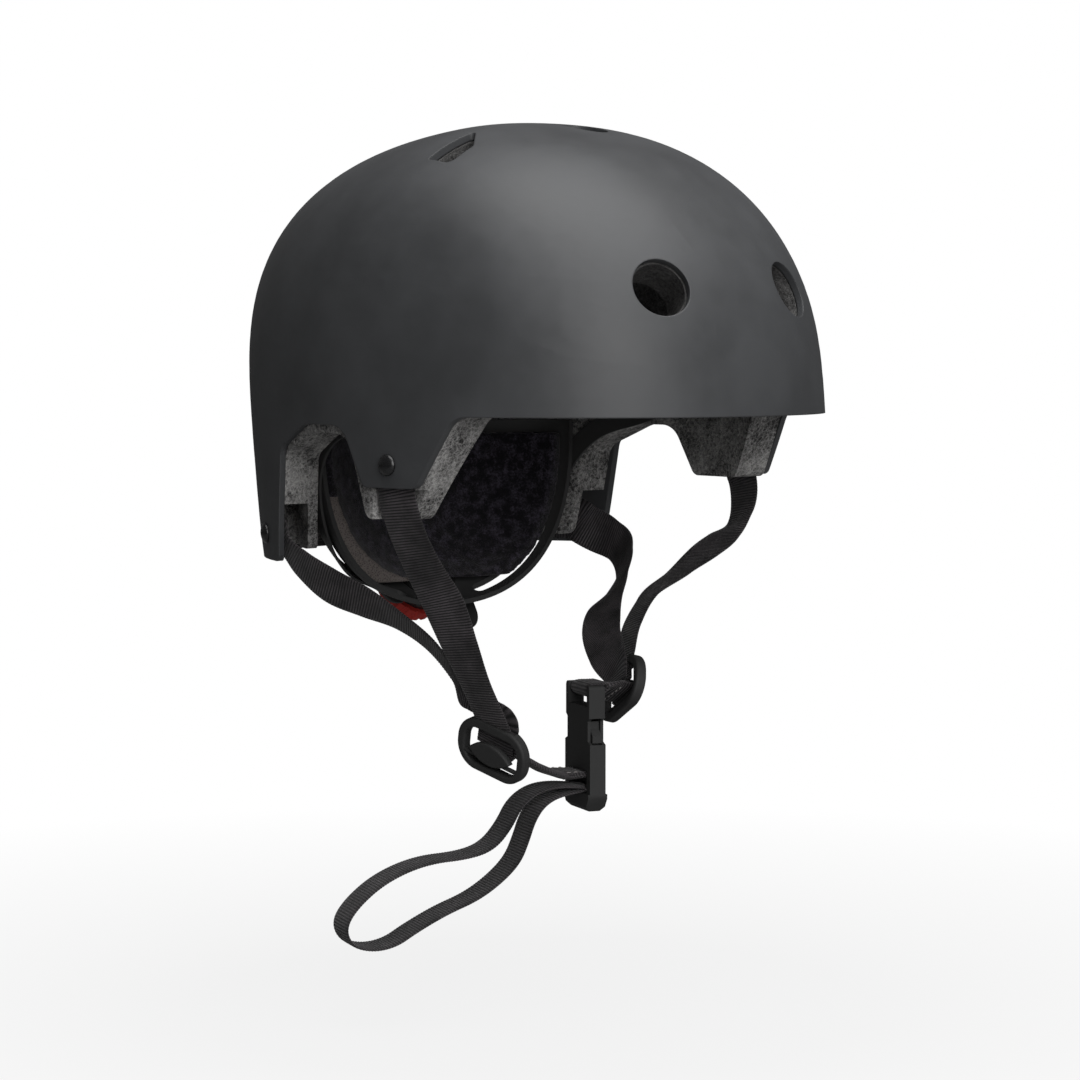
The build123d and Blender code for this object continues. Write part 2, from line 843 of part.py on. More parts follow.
def divider_lever(seat):
    """A lens-shaped cam lever on a pin."""
    half, tall = lever_length / 2, lever_height / 2
    pin_reach = divider_window_length / 2 + lever_pin_reach
    with BuildPart() as lever:
        with BuildSketch(seat.offset(lever_lift)):
            with BuildLine():
                ThreePointArc((-half, -lever_drop), (0, tall - lever_drop), (half, -lever_drop))
                ThreePointArc((half, -lever_drop), (0, -tall - lever_drop), (-half, -lever_drop))
            make_face()
        extrude(amount=lever_thickness)
        top = faces().sort_by(Axis(seat.origin, seat.z_dir))[-1]
        fillet(top.edges(), lever_edge_round)
        with BuildSketch(lever_pin_plane(seat)):
            Circle(lever_pin_diameter / 2)
        extrude(amount=pin_reach, both=True)
    return lever.part


for name, seat in (("right", right_seat), ("left", left_seat)):
    frame = divider(seat)
    frame.label = name + "_divider"
    export_step(frame, "parts/" + name + "_divider.step")
    lever = divider_lever(seat)
    lever.label = name + "_divider_lever"
    export_step(lever, "parts/" + name + "_divider_lever.step")

# Buckle: the socket half hangs on the left chin strap and the plug half on the right one
waist_top = mouth_height + waist_height
half_profile = [
    (0, 0),
    (buckle_width / 2, 0),
    (buckle_width / 2, mouth_height),
    (waist_width / 2, mouth_height + waist_slope),
    (waist_width / 2, waist_top - waist_slope),
    (cheek_width / 2, waist_top),
    (cheek_width / 2, socket_length),
    (0, socket_length),
]
with BuildPart() as buckle_female:
    with BuildSketch(buckle_seat):
        with BuildLine():
            Polyline(*half_profile, close=True)
        make_face()
        mirror(about=Plane.YZ)
    extrude(amount=buckle_thickness / 2, both=True)
    ends = edges().filter_by(Axis(buckle_seat.origin, buckle_seat.z_dir)).group_by(Axis.Z)[-1]
    fillet(ends, cheek_round)
    with BuildSketch(buckle_seat):
        with Locations((0, cavity_depth / 2)):
            Rectangle(cavity_width, cavity_depth)
        with Locations((0, mouth_height + waist_height / 2)):
            Rectangle(2 * buckle_width, waist_height)
    extrude(amount=cavity_thickness / 2, both=True, mode=Mode.SUBTRACT)
    with BuildSketch(buckle_seat):
        with Locations((0, (strap_slot_start + 2 * socket_length) / 2)):
            Rectangle(strap_slot_width, 2 * socket_length - strap_slot_start)
    extrude(amount=buckle_thickness, both=True, mode=Mode.SUBTRACT)
    with BuildSketch(side_view):
        with Locations((0, buckle_bar_height)):
            Circle(buckle_bar_diameter / 2)
    extrude(amount=(strap_slot_width + cheek_width) / 4, both=True)
buckle_female.part.label = "buckle_female"
export_step(buckle_female.part, "parts/buckle_female.step")

plug_height = plug_block_height + plug_slot_height + plug_end_height
slot_middle = plug_block_height + plug_slot_height / 2
end_top = plug_block_height + plug_slot_height
with BuildPart() as buckle_male:
    with BuildSketch(buckle_seat):
        with Locations((0, -plug_height / 2)):
            Rectangle(buckle_width, plug_height)
    extrude(amount=buckle_thickness / 2, both=True)
    with BuildSketch(buckle_seat):
        with Locations((0, -end_top - plug_end_height / 2)):
            Rectangle(buckle_width, plug_end_height)
    extrude(amount=plug_end_thickness / 2, both=True)
    low_edges = edges().filter_by(Axis(buckle_seat.origin, buckle_seat.z_dir)).group_by(Axis.Z)[0]
    chamfer(low_edges, plug_end_height - plug_end_flat, plug_corner)
    low_rim = faces().filter_by(Axis.Z).sort_by(Axis.Z)[0].edges()
    chamfer(low_rim.filter_by(Axis(buckle_seat.origin, buckle_seat.x_dir)), plug_end_flat)
    with BuildSketch(buckle_seat):
        with Locations((0, guide_height / 2)):
            Rectangle(guide_width, guide_height)
    extrude(amount=arm_thickness / 2, both=True)
    with BuildSketch(buckle_seat):
        with Locations((0, -slot_middle)):
            Rectangle(strap_slot_width, plug_slot_height)
    extrude(amount=buckle_thickness, both=True, mode=Mode.SUBTRACT)
    with BuildSketch(side_view):
        with Locations((0, -slot_middle)):
            Circle(plug_bar_diameter / 2)
    extrude(amount=(strap_slot_width + buckle_width) / 4, both=True)
    with BuildSketch(buckle_seat):
        with Locations((-arm_offset, -arm_pivot_drop), (arm_offset, -arm_pivot_drop)):
            Circle(arm_knuckle + fit_gap)
        with Locations((-arm_offset, -arm_pivot_drop / 2), (arm_offset, -arm_pivot_drop / 2)):
            Rectangle(arm_width + 2 * arm_swing_gap, arm_pivot_drop)
    extrude(amount=arm_thickness / 2 + fit_gap, both=True, mode=Mode.SUBTRACT)
buckle_male.part.label = "buckle_male"
export_step(buckle_male.part, "parts/buckle_male.step")


def release_arm(side):
    """A latch arm with its ear, on a knuckle in the plug."""
    outer = arm_offset + arm_width / 2
    ear = [
        (side * outer, ear_start),
        (side * (outer + ear_reach), ear_start),
        (side * (outer + ear_reach), ear_start + ear_height / 2),
        (side * outer, ear_start + ear_height),
    ]
    with BuildPart() as arm:
        with BuildSketch(buckle_seat):
            with Locations((side * arm_offset, (arm_height - arm_pivot_drop) / 2)):
                Rectangle(arm_width, arm_height + arm_pivot_drop)
            with Locations((side * arm_offset, -arm_pivot_drop)):
                Circle(arm_knuckle)
            Polygon(*ear, align=None)
        extrude(amount=arm_thickness / 2, both=True)
    return arm.part


# Seen from outside, the first arm lies towards the front
for name, side in (("release_arm_right", 1), ("release_arm_left", -1)):
    arm = release_arm(side)
    arm.label = name
    export_step(arm, "parts/" + name + ".step")

# The tail: webbing doubled round the plug's bar, then one loose loop
double_wall = 2 * webbing_wall + webbing_nap
wrap_radius = plug_bar_diameter / 2 + wrap_gap + double_wall / 2
wrap_end = plug_end_thickness / 2
tail_points = [(wrap_end, -slot_middle - wrap_radius + webbing_wall / 2)]
tail_points += tail_route
tail_points += [(wrap_end, -slot_middle - wrap_radius - webbing_wall / 2)]
tail_vectors = [Vector(x, y) for x, y in tail_points]
tail_radii = []
for before, corner, after in zip(tail_vectors, tail_vectors[1:], tail_vectors[2:]):
    turn = (corner - before).get_angle(after - corner)
    shorter = min((corner - before).length, (after - corner).length)
    tail_radii.append(tail_arc_share * shorter / tan(radians(turn / 2)))
print("tail radii", [round(radius, 1) for radius in tail_radii])

with BuildPart() as tail_loop:
    with BuildSketch(side_view) as loop_side:
        with BuildLine() as loop_line:
            FilletPolyline(*tail_points, radius=tail_radii)
        trace(line_width=webbing_wall)
        with BuildLine():
            Line((wrap_end, -slot_middle + wrap_radius), (0, -slot_middle + wrap_radius))
            CenterArc((0, -slot_middle), wrap_radius, 90, 180)
            Line((0, -slot_middle - wrap_radius), (wrap_end, -slot_middle - wrap_radius))
        trace(line_width=double_wall)
    extrude(amount=webbing_width / 2, both=True)
tail_loop.part.label = "tail_loop"
export_step(tail_loop.part, "parts/tail_loop.step")

# Each chin strap is double webbing from a divider's window to the buckle
chin_depth = divider_rail_back - chin_start_gap
right_chin_start = Vector(right_seat.from_local_coords((0, -chin_drop, chin_depth)))
right_chin_end = Vector(side_view.from_local_coords((wrap_end + chin_end_gap, -slot_middle + wrap_radius, 0)))
right_chin_run = right_chin_end - right_chin_start
right_chin_out = Vector(right_seat.from_local_coords((0, -chin_drop, chin_depth - divider_thickness)))
right_chin_in = Vector(
    side_view.from_local_coords((wrap_end + chin_end_gap + chin_lead, -slot_middle + wrap_radius, 0))
)
right_chin_middle = right_chin_start + right_chin_run / 2 - Vector(0, 0, chin_sag)
right_chin_places = [
    (right_chin_start, right_seat.x_dir),
    (right_chin_out, right_seat.x_dir),
    (right_chin_middle, right_seat.x_dir + buckle_across),
    (right_chin_in, buckle_across),
    (right_chin_end, buckle_across),
]
right_chin_bands = band(right_chin_places, webbing_width, double_wall)
with BuildPart() as right_chin_strap:
    loft(right_chin_bands)
right_chin_strap.part.label = "right_chin_strap"
export_step(right_chin_strap.part, "parts/right_chin_strap.step")

bar_loop_radius = buckle_bar_diameter / 2 + wrap_gap + webbing_wall / 2
left_chin_height = buckle_bar_height + bar_loop_radius - webbing_wall / 2
left_chin_start = Vector(left_seat.from_local_coords((0, -chin_drop, chin_depth)))
left_chin_out = Vector(left_seat.from_local_coords((0, -chin_drop, chin_depth - divider_thickness)))
left_chin_end = Vector(side_view.from_local_coords((-bar_loop_length, left_chin_height, 0)))
left_chin_places = [
    (left_chin_start, left_seat.x_dir * -1),
    (left_chin_out, left_seat.x_dir * -1),
    (left_chin_end, buckle_across),
]
left_chin_bands = band(left_chin_places, webbing_width, double_wall)
loop_top = buckle_bar_height + bar_loop_radius
with BuildPart() as left_chin_strap:
    loft(left_chin_bands)
    with BuildSketch(side_view):
        with BuildLine():
            Line((-bar_loop_length - webbing_wall, loop_top), (0, loop_top))
            CenterArc((0, buckle_bar_height), bar_loop_radius, 90, -180)
            Line((0, buckle_bar_height - bar_loop_radius), (-bar_loop_length / 2, buckle_bar_height - bar_loop_radius))
            Line(
                (-bar_loop_length / 2, buckle_bar_height - bar_loop_radius),
                (-bar_loop_length - webbing_wall, loop_top - webbing_wall),
            )
        trace(line_width=webbing_wall)
    extrude(amount=webbing_width / 2, both=True)
left_chin_strap.part.label = "left_chin_strap"
export_step(left_chin_strap.part, "parts/left_chin_strap.step")


def half_space(height, above):
    """A block that covers everything above or below a height."""
    with BuildPart() as block:
        with BuildSketch(Plane.XY.offset(height)):
            Rectangle(2 * cut_reach, 2 * cut_reach)
        extrude(amount=cut_reach if above else -cut_reach)
    return block.part


dial_out = Vector(0, cos(radians(dial_axis_lean)), -sin(radians(dial_axis_lean)))
dial_seat = Plane(origin=(0, dial_y, dial_z), x_dir=(1, 0, 0), z_dir=dial_out)
bowl_skin = bowl(0)
bowl_core = bowl(bowl_wall)
top_block = half_space(bowl_top_z, True)

with BuildPart() as cradle_yoke:
    add(bowl_skin)
    add(bowl_core, mode=Mode.SUBTRACT)
    add(top_block, mode=Mode.SUBTRACT)
    # Long slots leave a thin strip along the front rim
    with BuildSketch(Plane.XY.offset(bowl_z - bowl_drop / 2)):
        for side in (1, -1):
            with Locations((side * (slot_inner_x + slot_outer_x) / 2, bowl_y + slot_front + slot_width / 2)):
                RectangleRounded(slot_outer_x - slot_inner_x, slot_width, slot_width / 2 - fit_gap)
    extrude(amount=-bowl_drop, mode=Mode.SUBTRACT)
    with BuildSketch(Plane.XZ.offset(-bowl_y - bowl_depth / 2)):
        for side in (1, -1):
            with Locations((side * window_x, window_z)):
                RectangleRounded(window_width, window_height, window_round)
    extrude(amount=-bowl_depth, mode=Mode.SUBTRACT)
    with BuildSketch(dial_seat):
        Circle(housing_diameter / 2 + fit_gap)
    extrude(amount=housing_high, mode=Mode.SUBTRACT)
cradle_yoke.part.label = "cradle_yoke"
export_step(cradle_yoke.part, "parts/cradle_yoke.step")

pad_skin = bowl(bowl_wall + seat_gap)
pad_core = bowl(bowl_wall + seat_gap + cradle_pad_wall)
pad_top = half_space(cradle_pad_top_z, True)
pad_low = half_space(cradle_pad_low_z, False)
with BuildPart() as cradle_pad:
    add(pad_skin)
    add(pad_core, mode=Mode.SUBTRACT)
    add(pad_top, mode=Mode.SUBTRACT)
    add(pad_low, mode=Mode.SUBTRACT)
    with BuildSketch(Plane.XZ.offset(-bowl_y - cradle_pad_back)):
        Rectangle(2 * cut_reach, 2 * cut_reach)
    extrude(amount=cut_reach / 2, mode=Mode.SUBTRACT)
    with BuildSketch(dial_seat.offset(housing_low - seat_gap)):
        Circle(housing_diameter / 2 + seat_gap)
    extrude(amount=housing_high, mode=Mode.SUBTRACT)
cradle_pad.part.label = "cradle_pad"
export_step(cradle_pad.part, "parts/cradle_pad.step")

# Dial: a pinion on the knob's shaft draws the two racks past each other
pitch_radius = tooth_module * pinion_teeth / 2
tooth_pitch = pi * tooth_module
tip_radius = pitch_radius + tooth_tip_share * tooth_module
root_radius = pitch_radius - tooth_root_share * tooth_module
rack_tip = pitch_radius - tooth_tip_share * tooth_module
rack_root = pitch_radius + tooth_root_share * tooth_module
tooth_base = tooth_base_share * tooth_module
tooth_top = tooth_top_share * tooth_module
rack_high = rack_low + rack_wall
channel_low = rack_low - rack_gap
channel_high = rack_high + rack_gap
knob_low = housing_high + knob_gap
rack_outer = rack_root + rack_back

with BuildPart() as dial_housing:
    with BuildSketch(dial_seat.offset(housing_low)):
        Circle(housing_diameter / 2)
    extrude(amount=housing_high - housing_low)
    with BuildSketch(dial_seat.offset(tongue_low)) as tongue:
        with Locations((tongue_x, tongue_reach / 2)):
            Rectangle(tongue_width, tongue_reach)
        fillet(tongue.vertices().group_by(Axis.Y)[-1], tongue_round)
        with Locations((tongue_x, tongue_start / 2)):
            Rectangle(tongue_width, tongue_start, mode=Mode.SUBTRACT)
    extrude(amount=tongue_thickness)
    with BuildSketch(dial_seat.offset(channel_low)):
        Rectangle(2 * housing_diameter, 2 * (rack_outer + rack_gap))
    extrude(amount=channel_high - channel_low, mode=Mode.SUBTRACT)
    with BuildSketch(dial_seat.offset(channel_low)):
        Circle(drive_diameter / 2 + fit_gap)
    extrude(amount=housing_high, mode=Mode.SUBTRACT)
dial_housing.part.label = "dial_housing"
export_step(dial_housing.part, "parts/dial_housing.step")

with BuildPart() as dial_pinion:
    with BuildSketch(dial_seat.offset(rack_low)):
        Circle(root_radius)
        with PolarLocations(0, pinion_teeth, start_angle=90):
            tooth_outline = [
                (pitch_radius / 2, -tooth_base),
                (root_radius, -tooth_base),
                (tip_radius, -tooth_top),
                (tip_radius, tooth_top),
                (root_radius, tooth_base),
                (pitch_radius / 2, tooth_base),
            ]
            Polygon(*tooth_outline, align=None)
    extrude(amount=rack_wall)
    with BuildSketch(dial_seat.offset(rack_low)):
        Circle(drive_diameter / 2)
    extrude(amount=housing_high - rack_low)
    with BuildSketch(dial_seat.offset(housing_high)):
        Rectangle(drive_flat, drive_flat)
    extrude(amount=knob_gap + drive_height)
    with BuildSketch(dial_seat.offset(rack_low)):
        Circle(screw_diameter / 2 + fit_gap)
    extrude(amount=cut_reach, mode=Mode.SUBTRACT)
dial_pinion.part.label = "dial_pinion"
export_step(dial_pinion.part, "parts/dial_pinion.step")

with BuildPart() as dial_knob:
    with BuildSketch(dial_seat.offset(knob_low)):
        Circle(knob_diameter / 2)
        with PolarLocations(knob_diameter / 2 + knob_grip_diameter / 4, knob_grips):
            Circle(knob_grip_diameter / 2, mode=Mode.SUBTRACT)
    extrude(amount=knob_height)
    with BuildSketch(dial_seat.offset(knob_low + knob_height - screw_head_height)):
        Circle(screw_head_diameter / 2 + fit_gap)
    extrude(amount=knob_height, mode=Mode.SUBTRACT)
    with BuildSketch(dial_seat.offset(knob_low)):
        Rectangle(drive_flat + 2 * fit_gap, drive_flat + 2 * fit_gap)
    extrude(amount=drive_height + fit_gap, mode=Mode.SUBTRACT)
    with BuildSketch(dial_seat.offset(knob_low)):
        Circle(screw_diameter / 2 + fit_gap)
    extrude(amount=knob_height, mode=Mode.SUBTRACT)
    crown = faces().sort_by(Axis(dial_seat.origin, dial_seat.z_dir))[-1]
    chamfer(crown.outer_wire().edges(), knob_round)
dial_knob.part.label = "dial_knob"
export_step(dial_knob.part, "parts/dial_knob.step")

with BuildPart() as dial_screw:
    with BuildSketch(dial_seat.offset(rack_low)):
        Circle(screw_diameter / 2)
    extrude(amount=knob_low + knob_height - screw_head_height - rack_low)
    with BuildSketch(dial_seat.offset(knob_low + knob_height - screw_head_height)):
        Circle(screw_head_diameter / 2)
    extrude(amount=screw_head_height - fit_gap)
dial_screw.part.label = "dial_screw"
export_step(dial_screw.part, "parts/dial_screw.step")


def belt_places(side, bowl_route, rack_y):
    """Places along a belt from the dial, over the bowl and along the liner to the temple pin."""
    rack_middle = rack_low + rack_wall / 2
    points = [Vector(dial_seat.from_local_coords((side * x, rack_y, rack_middle))) for x in (belt_start, belt_exit)]
    normals = [dial_out, dial_out]
    wide, deep, tall = (size + belt_stand_off for size in (bowl_half_width, bowl_depth, bowl_drop))
    for back, down in bowl_route:
        reach = cos(radians(back))
        x = wide * reach * cos(radians(down)) ** bowl_power_share
        y = deep * sin(radians(back))
        z = -tall * reach * sin(radians(down)) ** bowl_power_share
        points.append(Vector(side * x, bowl_y + y, bowl_z + z))
        normals.append(Vector(side * x / wide**2, y / deep**2, z / tall**2).normalized())
    for y, z in belt_wall_places:
        seat, outward = skin_seat(liner_core, (0, y, z), (side, 0, 0))
        points.append(seat - outward * belt_wall_gap)
        normals.append(outward)
    pin_seat = pin_seats[0] if side > 0 else pin_seats[1]
    for reach in (eyelet_diameter * eyelet_lead_share, 0):
        points.append(pin_seat.origin + Vector(0, reach, 0) - pin_seat.z_dir * (eyelet_gap + belt_wall / 2))
        normals.append(pin_seat.z_dir)
    places = []
    for index, (point, normal) in enumerate(zip(points, normals)):
        before = points[max(index - 1, 0)]
        after = points[min(index + 1, len(points) - 1)]
        places.append((point, normal.cross(after - before) * side))
    return places


def belt(side, bowl_route, flank):
    """A fit belt: a toothed rack in the dial, a band round the cradle and an eyelet."""
    rack_start, rack_end = sorted((-side * rack_reach, side * belt_exit))
    bar_low, bar_high = sorted((flank * rack_root, flank * rack_outer))
    pin_seat = pin_seats[0] if side > 0 else pin_seats[1]
    bands = band(belt_places(side, bowl_route, (bar_low + bar_high) / 2), belt_width, belt_wall)
    with BuildPart() as whole:
        loft(bands)
        with BuildSketch(dial_seat.offset(rack_low)):
            with Locations(((rack_start + rack_end) / 2, (bar_low + bar_high) / 2)):
                Rectangle(rack_end - rack_start, bar_high - bar_low)
            for count in range(-rack_teeth_inside, rack_teeth_outside):
                middle = side * (count + 1 / 2) * tooth_pitch
                tooth_outline = [
                    (middle - tooth_base, flank * (rack_root + tooth_top)),
                    (middle - tooth_base, flank * rack_root),
                    (middle - tooth_top, flank * rack_tip),
                    (middle + tooth_top, flank * rack_tip),
                    (middle + tooth_base, flank * rack_root),
                    (middle + tooth_base, flank * (rack_root + tooth_top)),
                ]
                Polygon(*tooth_outline, align=None)
        extrude(amount=rack_wall)
        with BuildSketch(pin_seat.offset(-eyelet_gap)):
            Circle(eyelet_diameter / 2)
        extrude(amount=-belt_wall)
        with BuildSketch(pin_seat):
            Circle(pin_diameter / 2 + fit_gap)
        extrude(amount=-2 * eyelet_gap - 2 * belt_wall, mode=Mode.SUBTRACT)
    return whole.part


left_belt = belt(1, left_belt_route, -1)
left_belt.label = "left_belt"
export_step(left_belt, "parts/left_belt.step")

right_belt = belt(-1, right_belt_route, 1)
right_belt.label = "right_belt"
export_step(right_belt, "parts/right_belt.step")

with BuildPart() as temple_pins:
    for seat in pin_seats:
        with BuildSketch(seat.offset(-eyelet_gap - belt_wall - pin_head_gap)):
            Circle(pin_diameter / 2)
        extrude(amount=pin_depth + eyelet_gap + belt_wall - seat_gap)
        with BuildSketch(seat.offset(-eyelet_gap - belt_wall - pin_head_gap)):
            Circle(pin_head_diameter / 2)
        extrude(amount=-pin_head_height)
temple_pins.part.label = "temple_pins"
export_step(temple_pins.part, "parts/temple_pins.step")

# Soft pads sit on the liner's inner wall, with crowned faces
pad_wall = dome(shell_wall + seat_gap + liner_wall + seat_gap)


def cushion(start, direction, length, width, height, turn):
    """A soft pad with drawn-in sides and a crowned face, its back following the liner."""
    seat, outward = skin_seat(pad_wall, start, direction)
    base = Plane(origin=seat, z_dir=outward)
    level = Vector(0, 0, 1).cross(outward)
    if level.length > pad_turn_share:
        base = Plane(origin=seat, x_dir=level, z_dir=outward)
    base = base.rotated((0, 0, turn))
    with BuildPart() as pad:
        for rise_share, size_share in pad_shape_shares:
            with BuildSketch(base.offset(-rise_share * height)):
                long_side, short_side = length * size_share, width * size_share
                RectangleRounded(long_side, short_side, pad_round_share * short_side)
        loft()
        add(pad_wall, mode=Mode.INTERSECT)
    return pad.part


with BuildPart() as brow_pad:
    for x in (-brow_pad_x, 0, brow_pad_x):
        add(cushion((x, 0, brow_pad_z), (0, -1, 0), brow_pad_width, brow_pad_height, pad_height, 0))
brow_pad.part.label = "brow_pad"
export_step(brow_pad.part, "parts/brow_pad.step")

crown_pad = cushion((0, 0, 0), (0, 0, 1), crown_pad_length, crown_pad_width, crown_pad_height, 0)
crown_pad.label = "crown_pad"
export_step(crown_pad, "parts/crown_pad.step")

for name, side in (("left", 1), ("right", -1)):
    temple_pad = cushion(
        (0, temple_pad_y, temple_pad_z), (side, 0, 0), temple_pad_length, temple_pad_height, pad_height, 0
    )
    temple_pad.label = name + "_temple_pad"
    export_step(temple_pad, "parts/" + name + "_temple_pad.step")
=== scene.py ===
"""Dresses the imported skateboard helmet: webbing, pads, shell, foam, fittings, dial and stage.

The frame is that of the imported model: +Z is up, -Y is forward and +X is the wearer's left.
Tables of places are in millimetres where no comment says otherwise, and functions work in
metres, as Blender does.
"""

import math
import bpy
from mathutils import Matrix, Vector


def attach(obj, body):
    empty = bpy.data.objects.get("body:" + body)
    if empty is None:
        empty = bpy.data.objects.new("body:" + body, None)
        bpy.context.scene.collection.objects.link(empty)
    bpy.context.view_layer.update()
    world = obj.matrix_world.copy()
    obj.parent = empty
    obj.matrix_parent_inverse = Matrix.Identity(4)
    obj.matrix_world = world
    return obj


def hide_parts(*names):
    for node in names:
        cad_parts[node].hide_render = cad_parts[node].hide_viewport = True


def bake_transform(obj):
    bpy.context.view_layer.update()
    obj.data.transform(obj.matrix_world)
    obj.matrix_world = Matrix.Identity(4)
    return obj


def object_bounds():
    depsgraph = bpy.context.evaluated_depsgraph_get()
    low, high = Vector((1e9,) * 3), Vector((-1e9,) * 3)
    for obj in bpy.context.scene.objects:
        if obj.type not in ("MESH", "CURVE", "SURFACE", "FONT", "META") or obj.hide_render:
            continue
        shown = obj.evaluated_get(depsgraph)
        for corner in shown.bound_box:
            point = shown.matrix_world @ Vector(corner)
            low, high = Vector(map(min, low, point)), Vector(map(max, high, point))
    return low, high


bl_info = {
    "name": "Skateboard helmet",
    "version": (1, 0, 0),
    "blender": (4, 5, 0),
    "location": "View3D > Sidebar > Helmet",
    "description": "Builds a skateboard helmet round its packed frame",
    "category": "Object",
}

import bmesh
import bpy
import numpy as np
from bpy.props import FloatProperty, FloatVectorProperty
from mathutils import Vector

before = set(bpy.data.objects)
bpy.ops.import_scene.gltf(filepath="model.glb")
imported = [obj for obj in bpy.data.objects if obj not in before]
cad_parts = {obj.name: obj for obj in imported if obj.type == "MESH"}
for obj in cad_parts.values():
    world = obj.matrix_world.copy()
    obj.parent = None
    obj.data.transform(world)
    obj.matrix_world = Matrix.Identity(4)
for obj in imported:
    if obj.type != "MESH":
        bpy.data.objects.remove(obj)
CAD_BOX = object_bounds()
MM = 0.001

# The camera that took the photograph: where it stands and what it looks at, in metres, then
# its focal length and the width of its sensor in millimetres
CAMERA_PLACE = (-0.9539, -1.0136, 0.0306)
CAMERA_TARGET = (0.00187, 0.0, -0.05925)
CAMERA_REACH = 50.0
CAMERA_LENS = 104.4
CAMERA_SENSOR = 36.0

# The stage, in metres and watts: to the camera the floor glows by one share and then another
# over a reach, and mirrored rays see only a share of the white world
FLOOR_SIZE = 24.0
FLOOR_GLOW = (0.86, 1.0)
FLOOR_GLOW_REACH = (0.15, 0.6)
WHITE = (1.0, 1.0, 1.0, 1.0)
WORLD_TINT = (0.98, 0.99, 1.0, 1.0)
WORLD_STRENGTH = 0.026
MIRRORED_SHARE = 0.10
LAMP_TARGET = (0.0, 0.0, 0.02)
LAMPS = (
    # Name, place, diameter and power
    ("top_light", (-0.02, -0.40, 1.45), 1.9, 33.0),
    ("front_light", (-0.66, -1.41, 0.50), 1.3, 17.0),
)

